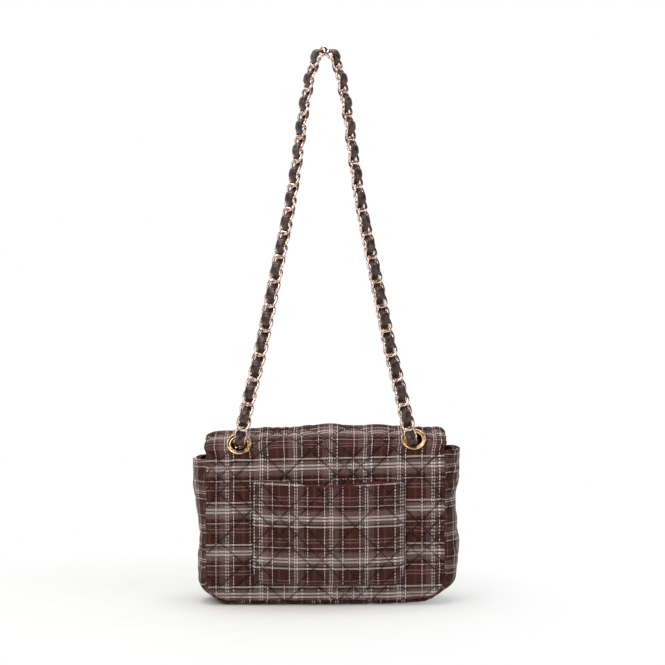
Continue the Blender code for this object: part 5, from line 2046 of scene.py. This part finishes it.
@dataclass
class Studio:
    """A white table, soft lamps and a camera level with the strap, looking at the bag's back."""

    distance: float = 1.5
    scale: float = 1136.0
    image: float = 665.0
    eye: tuple = (6.2 * MM, 240.5 * MM)
    # the floor's white glow grows with the distance from this point, which lies left of the bag, so it
    # lightens the bag's shadow on the right: painted light
    shade_middle: tuple = (-0.11, 0.0, 0.0)
    shade_reach: tuple = (0.12, 0.33)
    room_way: tuple = (0.35, -1.0, 0.1)
    room_edge: tuple = (-0.8, 0.3)
    room_light: float = 0.05
    fill_light: float = 0.45

    def build(self) -> None:
        """Sets the whole studio."""
        self.camera()
        self.floor()
        self.world()
        self.lamps()
        bpy.context.scene.view_settings.view_transform = "Standard"

    def camera(self) -> None:
        """A level camera whose focal length gives the photograph's scale at the back panel."""
        data = bpy.data.cameras.new("camera")
        data.sensor_width = 36.0
        data.lens = self.scale * self.distance * data.sensor_width / self.image
        data.clip_end = 50.0
        camera = new_object("camera", data)
        camera.location = (self.eye[0], -FORM.outer_r - self.distance, self.eye[1])
        camera.rotation_euler = (math.pi / 2, 0, 0)
        bpy.context.scene.camera = camera

    def floor(self) -> None:
        """A pale table top that turns into plain white away from the bag, and keeps its shadow near a point
        left of the bag; its white glow also lightens the shadow on the bag's right, as painted light.
        """
        bm = bmesh.new()
        bmesh.ops.create_circle(bm, cap_ends=True, segments=64, radius=6.0)
        floor = new_object("floor", mesh_from("floor", bm))
        made, tree, shader = new_material("white laminate table", Roughness=0.65, Specular_IOR_Level=0.1)
        place = object_place(tree)
        mottle = noise(tree, place, 25 * MM, 2.0)
        wire_up(tree, shader, colour_ramp(tree, mottle, [(0.0, "E6E6E4"), (1.0, "ECECEA")]))
        inputs = {0: place, 1: Vector(self.shade_middle)}
        away = add_node(tree, "ShaderNodeVectorMath", inputs, operation="DISTANCE").outputs["Value"]
        rays = add_node(tree, "ShaderNodeLightPath").outputs
        seen = worked(tree, rays["Is Camera Ray"], ("MAXIMUM", rays["Is Glossy Ray"]))
        # painted light: away from the shade's middle the floor glows white to the camera and in gloss, also
        # over the right part of the bag's shadow
        share = worked(tree, scaled(tree, away, *self.shade_reach), ("MULTIPLY", seen))
        white = add_node(tree, "ShaderNodeEmission", {"Color": (1, 1, 1, 1), "Strength": 1.0}).outputs[0]
        mix = add_node(tree, "ShaderNodeMixShader", {0: share, 1: shader.outputs[0], 2: white}).outputs[0]
        tree.links.new(mix, tree.nodes["Material Output"].inputs["Surface"])
        floor.data.materials.append(made)

    def world(self) -> None:
        """White to the camera, a softer fill for the cloth, and a dark room behind the camera.

        The room shows only in gloss, where it draws the dark edges that polished metal has.
        """
        world = bpy.data.worlds.new("studio")
        bpy.context.scene.world = world
        world.use_nodes = True
        tree = world.node_tree
        rays = add_node(tree, "ShaderNodeLightPath").outputs
        way = add_node(tree, "ShaderNodeTexCoord").outputs["Generated"]
        inputs = {0: way, 1: Vector(self.room_way).normalized()}
        toward = add_node(tree, "ShaderNodeVectorMath", inputs, operation="DOT_PRODUCT").outputs["Value"]
        gloss = scaled(tree, toward, *self.room_edge, 1.0, self.room_light)
        steps = [("MAXIMUM", rays[word]) for word in ("Is Camera Ray", "Is Transmission Ray")]
        seen = worked(tree, rays["Is Glossy Ray"], ("MULTIPLY", gloss), *steps)
        strength = worked(tree, rays["Is Diffuse Ray"], ("MULTIPLY_ADD", self.fill_light, seen))
        back = tree.nodes["Background"]
        back.inputs["Color"].default_value = (1, 1, 1, 1)
        tree.links.new(strength, back.inputs["Strength"])

    def lamps(self) -> None:
        """A large key from the upper left, a weaker fill from the right and one from above."""
        target = Vector((0, 0, 0.12))
        for name, place, size, power in (
            ("key", (-1.0, -1.5, 1.35), 1.0, 19.0),
            ("fill", (1.5, -1.3, 0.7), 1.2, 6.0),
            ("top", (-0.2, 0.1, 1.8), 1.4, 20.0),
        ):
            data = bpy.data.lights.new(name, "AREA")
            data.size = size
            data.energy = power
            lamp = new_object(name, data)
            lamp.location = place
            lamp.rotation_euler = (target - Vector(place)).to_track_quat("-Z", "Y").to_euler()


def main() -> None:
    """Builds the bag's pieces in order, reports each, and sets the studio."""
    logging.basicConfig(level=logging.INFO, format="%(message)s")
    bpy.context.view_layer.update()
    finishes = Finishes()
    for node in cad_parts.values():
        node.data.materials.clear()
        node.data.materials.append(finishes.by_slot[Slot.BOARD])
    stitcher = Stitcher(finishes)
    parts = (
        BackAndFlap(finishes, stitcher),
        FrontWall(finishes, stitcher),
        SideStrip(finishes, stitcher),
        SlipPocket(finishes, stitcher),
        Eyelets(finishes),
        Snap(finishes),
        ChainStrap(finishes),
        Anchors(finishes),
    )
    for part in parts:
        for piece in part.build():
            LOG.info("%s: %s, %d faces", type(part).__name__, piece.name, len(piece.data.polygons))
    Studio().build()


if __name__ == "__main__":
    main()
